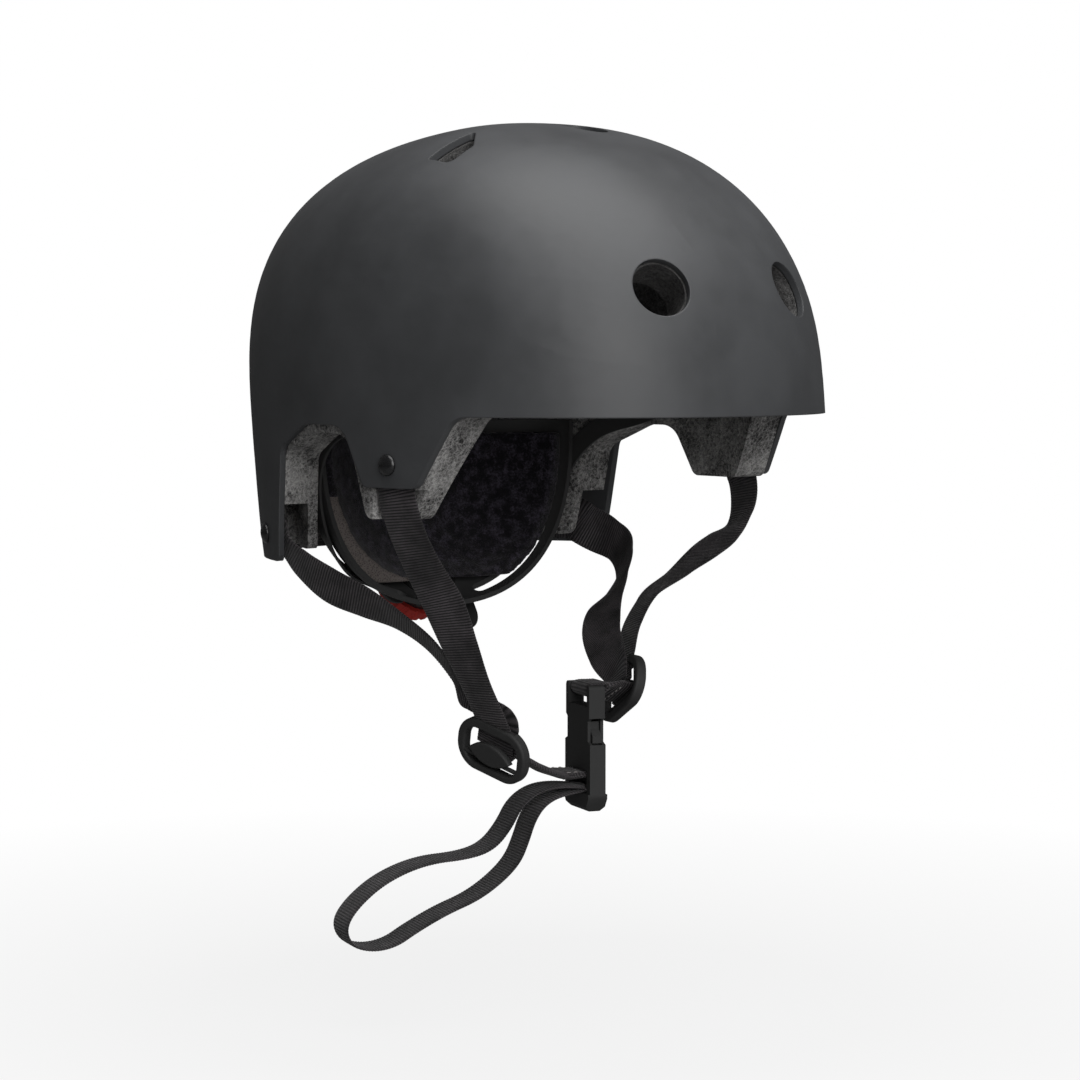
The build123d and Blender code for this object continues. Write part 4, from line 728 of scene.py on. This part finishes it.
def merged_copy(node, name, angle=32.0, edge=0.0):
    """A CAD node's mesh with its loose triangles joined, smooth but for edges over the angle.

    With an edge, its sharp edges get a bevel of that size."""
    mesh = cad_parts[node].data.copy()
    mesh.name = name
    mesh.materials.clear()
    work = bmesh.new()
    work.from_mesh(mesh)
    bmesh.ops.remove_doubles(work, verts=work.verts, dist=JOIN_DISTANCE)
    bmesh.ops.dissolve_degenerate(work, edges=work.edges, dist=SLIVER_SIZE)
    if edge:
        limit = math.radians(BEVEL_ANGLE)
        sharp = [
            e for e in work.edges if len(e.link_faces) == 2 and e.calc_face_angle(0.0) > limit
        ]
        bmesh.ops.bevel(
            work,
            geom=sharp,
            offset=edge,
            segments=2,
            profile=0.5,
            affect="EDGES",
            clamp_overlap=True,
            material=-1,
        )
    work.to_mesh(mesh)
    work.free()
    if "custom_normal" in mesh.attributes:
        mesh.attributes.remove(mesh.attributes["custom_normal"])
    mesh.shade_smooth()
    mesh.set_sharp_from_angle(angle=math.radians(angle))
    made = new_object(name, mesh)
    made.modifiers.new("even_normals", "WEIGHTED_NORMAL").keep_sharp = True
    return made


def dress_node(node, name, body, material, slot=None, **shape):
    """Dresses a CAD node in its own shape. Its slot, the material's name if none is given, is
    passed on but not used.
    """
    dress(merged_copy(node, name, **shape), body, material, node, slot=slot or material)


def evaluated_mesh(piece):
    """The piece's mesh with its modifiers applied."""
    graph = bpy.context.evaluated_depsgraph_get()
    graph.update()
    return bpy.data.meshes.new_from_object(piece.evaluated_get(graph))


def nurbs_line(points):
    """Places along the NURBS curve of order 3 from the first of the points to the last."""
    data = bpy.data.curves.new("guide", "CURVE")
    data.dimensions = "3D"
    data.resolution_u = 32
    spline = data.splines.new("NURBS")
    spline.points.add(len(points) - 1)
    weighted = np.hstack([points, np.ones((len(points), 1))])
    spline.points.foreach_set("co", weighted.astype(np.float32).ravel())
    spline.order_u = 3
    spline.use_endpoint_u = True
    guide = new_object("guide", data)
    mesh = evaluated_mesh(guide)
    line = read_vectors(mesh.vertices, "co")
    bpy.data.objects.remove(guide)
    bpy.data.curves.remove(data)
    bpy.data.meshes.remove(mesh)
    return line


def uneven(points, scale, waves=12, seed=7):
    """A smooth number for each point: twice the mean of sines in some fixed directions."""
    pick = np.random.default_rng(seed)
    ways = unit(pick.normal(size=(waves, 3)))
    phase = pick.uniform(0, 2 * math.pi, waves)
    stretch = pick.uniform(0.7, 1.6, waves) * scale
    return np.sin(points @ ways.T * stretch + phase).mean(axis=1) * 2


def soft_pad(node, name, body, cut=None):
    """A pad from its CAD solid: remeshed, relaxed and crowned, with fleece on the head's side.

    The foam shows on the cut side, or only where all of a face's coordinates are under cut.
    A point moves out along its normal by the crown, which is the square of how straight it
    looks at the head, and by the unevenness of the fleece. A groove runs where the fleece
    meets the cut side of the foam, as a bell curve of the same share."""
    base = merged_copy(node, name + "_form")
    base.modifiers.clear()
    cells = base.modifiers.new("cells", "REMESH")
    cells.mode = "VOXEL"
    cells.voxel_size = sizes().pad_voxel
    relaxed = base.modifiers.new("relaxed", "SMOOTH")
    relaxed.factor = PAD_RELAXING
    relaxed.iterations = PAD_RELAXINGS
    mesh = evaluated_mesh(base)
    mesh.name = name
    bpy.data.objects.remove(base)
    head = np.array(HEAD_CENTRE) * MM
    points = read_vectors(mesh.vertices, "co")
    normals = read_vectors(mesh.vertex_normals, "vector")
    toward = np.einsum("ij,ij->i", normals, unit(head - points))
    facing = np.clip(toward, 0, 1)
    crown = facing**2 * PAD_CROWN
    pile = uneven(points, PILE_SCALE) * sizes().pile_height * facing
    groove = -PAD_GROOVE * np.exp(-(((toward - FLEECE_LIMIT) / GROOVE_SPREAD) ** 2))
    points += normals * (crown + pile + groove)[:, None]
    mesh.vertices.foreach_set("co", points.astype(np.float32).ravel())
    mesh.update()
    mesh.shade_smooth()
    mesh.materials.clear()
    mesh.materials.append(finish("fleece"))
    mesh.materials.append(finish("open_foam"))
    centres = read_vectors(mesh.polygons, "center")
    if cut is None:
        face_normals = read_vectors(mesh.polygon_normals, "vector")
        to_head = unit(head - centres)
        faces_head = np.einsum("ij,ij->i", face_normals, to_head) > FLEECE_LIMIT
    else:
        faces_head = (centres > np.array(cut)).any(axis=1)
    mesh.polygons.foreach_set("material_index", np.where(faces_head, 0, 1).astype(np.int32))
    made = new_object(name, mesh)
    dress(made, body, "fleece", node, slot="pad_fleece")


def thread_row(name, start, end, outward):
    """A row of stitches from start to end: each is a small arched tube of thread, in metres.

    A stitch's middle line is a half sine standing out of the webbing, and its section is a
    circle of six points that narrows at both ends."""
    length = np.linalg.norm(end - start)
    along = (end - start) / length
    outward = unit(outward - along * np.dot(outward, along))
    side = np.cross(along, outward)
    pitch = sizes().stitch_length * (1 + STITCH_GAP)
    count = max(int(length / pitch), 1)
    t = np.linspace(0, 1, STITCH_STEPS)
    turn = np.arange(6) / 6 * 2 * math.pi
    radius = THREAD_RADIUS * (STITCH_TIP + (1 - STITCH_TIP) * np.sin(t * math.pi))
    rise = STITCH_RISE * np.sin(t * math.pi)
    reach = (np.arange(count) * pitch)[:, None] + t * sizes().stitch_length
    middle = start + along * reach[..., None] + outward * rise[:, None]
    ring = np.outer(np.cos(turn), side) + np.outer(np.sin(turn), outward)
    points = middle[:, :, None, :] + ring * radius[:, None, None]
    index = np.arange(count * len(t) * len(turn)).reshape(count, len(t), len(turn))
    first_ends = [index[:, 0][:, corners] for corners in ([3, 2, 1, 0], [5, 4, 3, 0])]
    last_ends = [index[:, -1][:, corners] for corners in ([0, 1, 2, 3], [0, 3, 4, 5])]
    quads = np.concatenate([grid_faces(index), *first_ends, *last_ends])
    made = mesh_piece(name, points.reshape(-1, 3), quads)
    made.data.materials.append(finish("thread"))
    return made


def turned(name, profile, seats):
    """Turned pieces, one on each seat, in millimetres.

    Each profile point is a radius and a height along the seat's axis, carried round it: the
    seat's place plus the height times the axis plus the radius times a turning direction."""
    profile = np.array(profile, float)
    turn = np.arange(TURNED_SIDES) / TURNED_SIDES * 2 * math.pi
    whole = []
    for place, axis in seats:
        axis = unit(np.array(axis, float))
        side = unit(np.cross(axis, UP))
        ring = np.outer(np.cos(turn), side) + np.outer(np.sin(turn), np.cross(axis, side))
        heights = axis * profile[:, 1, None, None]
        whole.append((np.array(place) + heights + ring * profile[:, 0, None, None]).reshape(-1, 3))
    points = np.concatenate(whole) * MM
    index = np.arange(len(points)).reshape(len(seats), len(profile), TURNED_SIDES)
    made = mesh_piece(name, points, grid_faces(index))
    work = bmesh.new()
    work.from_mesh(made.data)
    bmesh.ops.remove_doubles(work, verts=work.verts, dist=JOIN_DISTANCE)
    bmesh.ops.recalc_face_normals(work, faces=work.faces)
    work.to_mesh(made.data)
    work.free()
    made.data.shade_smooth()
    made.data.set_sharp_from_angle(angle=math.radians(TURNED_ANGLE))
    return made


# Operators, one for each piece or group of like pieces


def looking(place, target):
    """The turn of a camera or a lamp at a place that looks at a target."""
    return (Vector(place) - Vector(target)).to_track_quat("Z", "Y").to_euler()


def place_camera(scene):
    """The photograph's camera."""
    lens = bpy.data.cameras.new("camera")
    lens.lens = CAMERA_LENS
    lens.sensor_width = CAMERA_SENSOR
    lens.clip_end = CAMERA_REACH
    camera = new_object("camera", lens)
    camera.location = CAMERA_PLACE
    camera.rotation_euler = looking(CAMERA_PLACE, CAMERA_TARGET)
    scene.camera = camera
    scene.view_settings.view_transform = "Standard"


def lay_floor(context):
    """A floor that the camera sees as shaded paper under the helmet and as white further out."""
    low = CAD_BOX[0].z - sizes().floor_gap
    bpy.ops.mesh.primitive_plane_add(size=FLOOR_SIZE, location=(0, 0, low))
    floor = context.object
    floor.name = "floor"
    made, tree, out = empty_material("floor_paper")
    paper = add_node(tree, "ShaderNodeBsdfDiffuse", {"Color": tone(colours().floor)})
    glow = add_node(tree, "ShaderNodeEmission", {"Color": WHITE, "Strength": 1.0})
    path = add_node(tree, "ShaderNodeLightPath")
    away = add_node(tree, "ShaderNodeVectorMath", {0: object_place(tree)}, operation="LENGTH")
    white = between(tree, away.outputs["Value"], onto=FLOOR_GLOW, inside=FLOOR_GLOW_REACH)
    share = maths(tree, "MULTIPLY", path.outputs["Is Camera Ray"], white)
    layers = {0: share, 1: paper.outputs[0], 2: glow.outputs[0]}
    both = add_node(tree, "ShaderNodeMixShader", layers)
    tree.links.new(both.outputs[0], out.inputs["Surface"])
    floor.data.materials.append(made)


def light_world(scene):
    """A world that is white for the camera, faint for mirrored rays and weak as a light."""
    world = bpy.data.worlds.new("studio")
    scene.world = world
    world.use_nodes = True
    tree = world.node_tree
    tree.nodes.clear()
    out = add_node(tree, "ShaderNodeOutputWorld")
    path = add_node(tree, "ShaderNodeLightPath").outputs
    seen = add_node(tree, "ShaderNodeBackground", {"Color": WHITE, "Strength": 1.0})
    weak = {"Color": WORLD_TINT, "Strength": WORLD_STRENGTH}
    soft = add_node(tree, "ShaderNodeBackground", weak)
    mirrored = maths(tree, "MAXIMUM", path["Is Glossy Ray"], path["Is Transmission Ray"])
    faint = maths(tree, "MULTIPLY", mirrored, MIRRORED_SHARE)
    white = maths(tree, "MAXIMUM", path["Is Camera Ray"], faint)
    layers = {0: white, 1: soft.outputs[0], 2: seen.outputs[0]}
    both = add_node(tree, "ShaderNodeMixShader", layers)
    tree.links.new(both.outputs[0], out.inputs["Surface"])


def hang_lamp(name, place, size, power):
    """A round soft lamp that looks at the helmet."""
    data = bpy.data.lights.new(name, "AREA")
    data.shape = "DISK"
    data.size = size
    data.energy = power
    lamp = new_object(name, data)
    lamp.location = place
    lamp.rotation_euler = looking(place, LAMP_TARGET)


class HELMET_OT_stage(bpy.types.Operator):
    """Place the camera of the photograph, the pale floor and the soft studio light"""

    bl_idname = "helmet.stage"
    bl_label = "Stage"

    def execute(self, context):
        place_camera(context.scene)
        lay_floor(context)
        light_world(context.scene)
        for lamp in LAMPS:
            hang_lamp(*lamp)
        return {"FINISHED"}


class HELMET_OT_tail(bpy.types.Operator):
    """Make the loose loop of webbing that hangs from the buckle, and its wrap round the bar"""

    bl_idname = "helmet.tail"
    bl_label = "Tail loop"

    def execute(self, context):
        line = nurbs_line(in_buckle(*np.array(TAIL_ROUTE).T))
        tail, fine = buckle_band("tail_webbing", line, sizes().webbing_thickness)
        wrap = bar_wrap("plug_bar_wrap", PLUG_BAR, PLUG_WRAP_THICKNESS)
        dress(wrap, "buckle_plug", "woven_nylon", slot="webbing")
        dress(tail, "buckle_plug", "woven_nylon", "tail_loop", slot="webbing")
        return {"FINISHED"}


class HELMET_OT_straps(bpy.types.Operator):
    """Make the four ribbed side straps from the shell to the dividers"""

    bl_idname = "helmet.straps"
    bl_label = "Side straps"

    def execute(self, context):
        for side in ("right_front", "right_rear", "left_front", "left_rear"):
            rows = STRAP_ROWS[side]
            made = band_from_rows(side + "_webbing", rows, sizes().webbing_thickness)
            dress(made, "helmet", "woven_nylon", side + "_strap", slot="webbing")
        return {"FINISHED"}


class HELMET_OT_chin_straps(bpy.types.Operator):
    """Make the double webbing between the dividers and the buckle, with its stitching"""

    bl_idname = "helmet.chin_straps"
    bl_label = "Chin straps"

    def right_side(self):
        """The strap to the buckle's plug, with a seam along each selvedge on the seen face."""
        rows = np.array(STRAP_ROWS["right_chin"], float)
        width = sizes().webbing_width
        right = band_from_rows("right_chin_webbing", rows, CHIN_THICKNESS)
        right.data.materials.append(finish("woven_nylon"))
        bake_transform(right)
        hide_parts("right_chin_strap")
        to_camera = np.array(CAMERA_PLACE) - np.array(CAMERA_TARGET)
        for k in range(FIRST_STITCHED_ROW, len(rows) - 1):
            way = unit((rows[k, 3:] + rows[k + 1, 3:]) / 2)
            out = unit(np.cross(rows[k + 1, :3] - rows[k, :3], way))
            out *= np.sign(out @ to_camera)
            lift = out * CHIN_THICKNESS / 2
            for share, side in ((-SEAM_SHARE, "low"), (SEAM_SHARE, "high")):
                shift = way * share * width + lift
                ends = [rows[j, :3] * MM + shift for j in (k, k + 1)]
                row = thread_row(f"right_chin_stitches_{k}_{side}", *ends, out)
                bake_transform(row)

    def left_side(self):
        """The strap to the buckle's socket, its loop round the bar and the seam across it."""
        rows = np.array(STRAP_ROWS["left_chin"], float)
        left = band_from_rows("left_chin_webbing", rows, CHIN_THICKNESS)
        dress(left, "helmet", "woven_nylon", "left_chin_strap", slot="webbing")
        loop = bar_wrap("socket_bar_loop", SOCKET_BAR, sizes().webbing_thickness)
        dress(loop, "helmet", "woven_nylon", slot="webbing")
        middle = (rows[0, :3] + (rows[1, :3] - rows[0, :3]) * CROSS_SEAM_PLACE) * MM
        way = rows[1, 3:]
        out = unit(np.cross(unit(rows[2, :3] - rows[0, :3]), way))
        out *= -np.sign(out[0])
        reach = way * sizes().webbing_width * CROSS_SEAM_REACH
        lift = out * CHIN_THICKNESS / 2
        seam = thread_row("chin_stitches", middle - reach + lift, middle + reach + lift, out)
        dress(seam, "helmet", "thread", slot="webbing")

    def execute(self, context):
        self.right_side()
        self.left_side()
        return {"FINISHED"}


class HELMET_OT_shell(bpy.types.Operator):
    """Dress the hard shell, its rivets and washers and the foam liner"""

    bl_idname = "helmet.shell"
    bl_label = "Shell and liner"

    def execute(self, context):
        dress_node(
            "outer_shell", "shell", "helmet", "shell_paint", slot="shell_plastic", angle=30.0
        )
        lean = np.linspace(0, math.pi / 2, DOME_STEPS)
        dome = RIVET_EDGE + (RIVET_HEAD_HEIGHT - RIVET_EDGE) * np.sin(lean)
        head = np.stack([RIVET_HEAD_RADIUS * np.cos(lean), dome], axis=-1)
        profile = RIVET_SHANK + [(RIVET_HEAD_RADIUS, 0.0)] + head.tolist()
        both_sides = [
            (np.array(place) * (side, 1, 1), np.array(axis) * (side, 1, 1))
            for place, axis in RIVET_SEATS
            for side in (1, -1)
        ]
        rivets = turned("rivets", profile, both_sides)
        dress(rivets, "helmet", "rivet_lacquer", "shell_rivets", slot="rivet_metal")
        dress_node(
            "rivet_washers", "washers", "helmet", "washer_steel", slot="washer_metal", angle=30.0
        )
        dress_node("foam_liner", "liner", "helmet", "bead_foam", slot="liner_foam", angle=30.0)
        return {"FINISHED"}


class HELMET_OT_pads(bpy.types.Operator):
    """Make the fleece pads on the liner and the cradle"""

    bl_idname = "helmet.pads"
    bl_label = "Pads"

    def execute(self, context):
        for place in ("brow", "crown", "left_temple", "right_temple"):
            soft_pad(place + "_pad", place + "_fleece", "helmet")
        soft_pad("cradle_pad", "nape_fleece", "cradle", NAPE_PAD_CUT)
        return {"FINISHED"}


class HELMET_OT_fittings(bpy.types.Operator):
    """Dress the strap dividers with their levers, and the chin buckle"""

    bl_idname = "helmet.fittings"
    bl_label = "Dividers and buckle"

    def execute(self, context):
        for node, name, body in (
            ("left_divider", "left_divider_frame", "helmet"),
            ("right_divider", "right_divider_frame", "helmet"),
            ("left_divider_lever", "left_cam_lever", "left_lever"),
            ("right_divider_lever", "right_cam_lever", "right_lever"),
        ):
            dress_node(node, name, body, "fitting_plastic", edge=0.0004)
        for node, name, body in (
            ("buckle_female", "buckle_socket", "helmet"),
            ("buckle_male", "buckle_plug_end", "buckle_plug"),
            ("release_arm_left", "left_release_arm", "arm_left"),
            ("release_arm_right", "right_release_arm", "arm_right"),
        ):
            dress_node(node, name, body, "buckle_plastic", edge=0.0007)
        return {"FINISHED"}


class HELMET_OT_cradle(bpy.types.Operator):
    """Dress the cradle, its fit belts and pins, and the fit dial"""

    bl_idname = "helmet.cradle"
    bl_label = "Cradle and dial"

    def execute(self, context):
        dress_node("cradle_yoke", "yoke", "cradle", "cradle_plastic")
        dress_node("temple_pins", "belt_pins", "helmet", "fitting_plastic")
        for side, end in (("left", 1), ("right", -1)):
            belt = merged_copy(side + "_belt", side + "_fit_belt")
            belt.modifiers.clear()
            belt.data.materials.append(finish("cradle_plastic"))
            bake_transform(belt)
            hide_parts(side + "_belt")
        dress_node("dial_housing", "housing", "cradle", "housing_plastic")
        dress_node("dial_pinion", "pinion", "dial", "housing_plastic")
        dress_node("dial_knob", "knob", "dial", "knob_plastic")
        dress_node("dial_screw", "screw", "dial", "rivet_lacquer", slot="rivet_metal")
        return {"FINISHED"}


class HELMET_PT_panel(bpy.types.Panel):
    """The helmet's pieces, sizes and colours"""

    bl_idname = "HELMET_PT_panel"
    bl_label = "Skateboard helmet"
    bl_space_type = "VIEW_3D"
    bl_region_type = "UI"
    bl_category = "Helmet"

    def draw(self, context):
        column = self.layout.column(align=True)
        for kind in OPERATORS:
            column.operator(kind.bl_idname)
        for group in (context.scene.helmet_sizes, context.scene.helmet_colours):
            box = self.layout.box()
            for key in group.__annotations__:
                box.prop(group, key)


OPERATORS = (
    HELMET_OT_stage,
    HELMET_OT_tail,
    HELMET_OT_straps,
    HELMET_OT_chin_straps,
    HELMET_OT_shell,
    HELMET_OT_pads,
    HELMET_OT_fittings,
    HELMET_OT_cradle,
)
CLASSES = (HelmetSizes, HelmetColours) + OPERATORS + (HELMET_PT_panel,)


def register():
    """Registers the classes and gives scenes their sizes and colours."""
    for kind in CLASSES:
        bpy.utils.register_class(kind)
    bpy.types.Scene.helmet_sizes = bpy.props.PointerProperty(type=HelmetSizes)
    bpy.types.Scene.helmet_colours = bpy.props.PointerProperty(type=HelmetColours)


def unregister():
    """Takes back all that register did."""
    del bpy.types.Scene.helmet_colours
    del bpy.types.Scene.helmet_sizes
    for kind in reversed(CLASSES):
        bpy.utils.unregister_class(kind)


def main():
    """Builds the whole helmet."""
    register()
    bpy.ops.helmet.stage()
    bpy.ops.helmet.tail()
    bpy.ops.helmet.straps()
    bpy.ops.helmet.chin_straps()
    bpy.ops.helmet.shell()
    bpy.ops.helmet.pads()
    bpy.ops.helmet.fittings()
    bpy.ops.helmet.cradle()


if __name__ == "__main__":
    main()
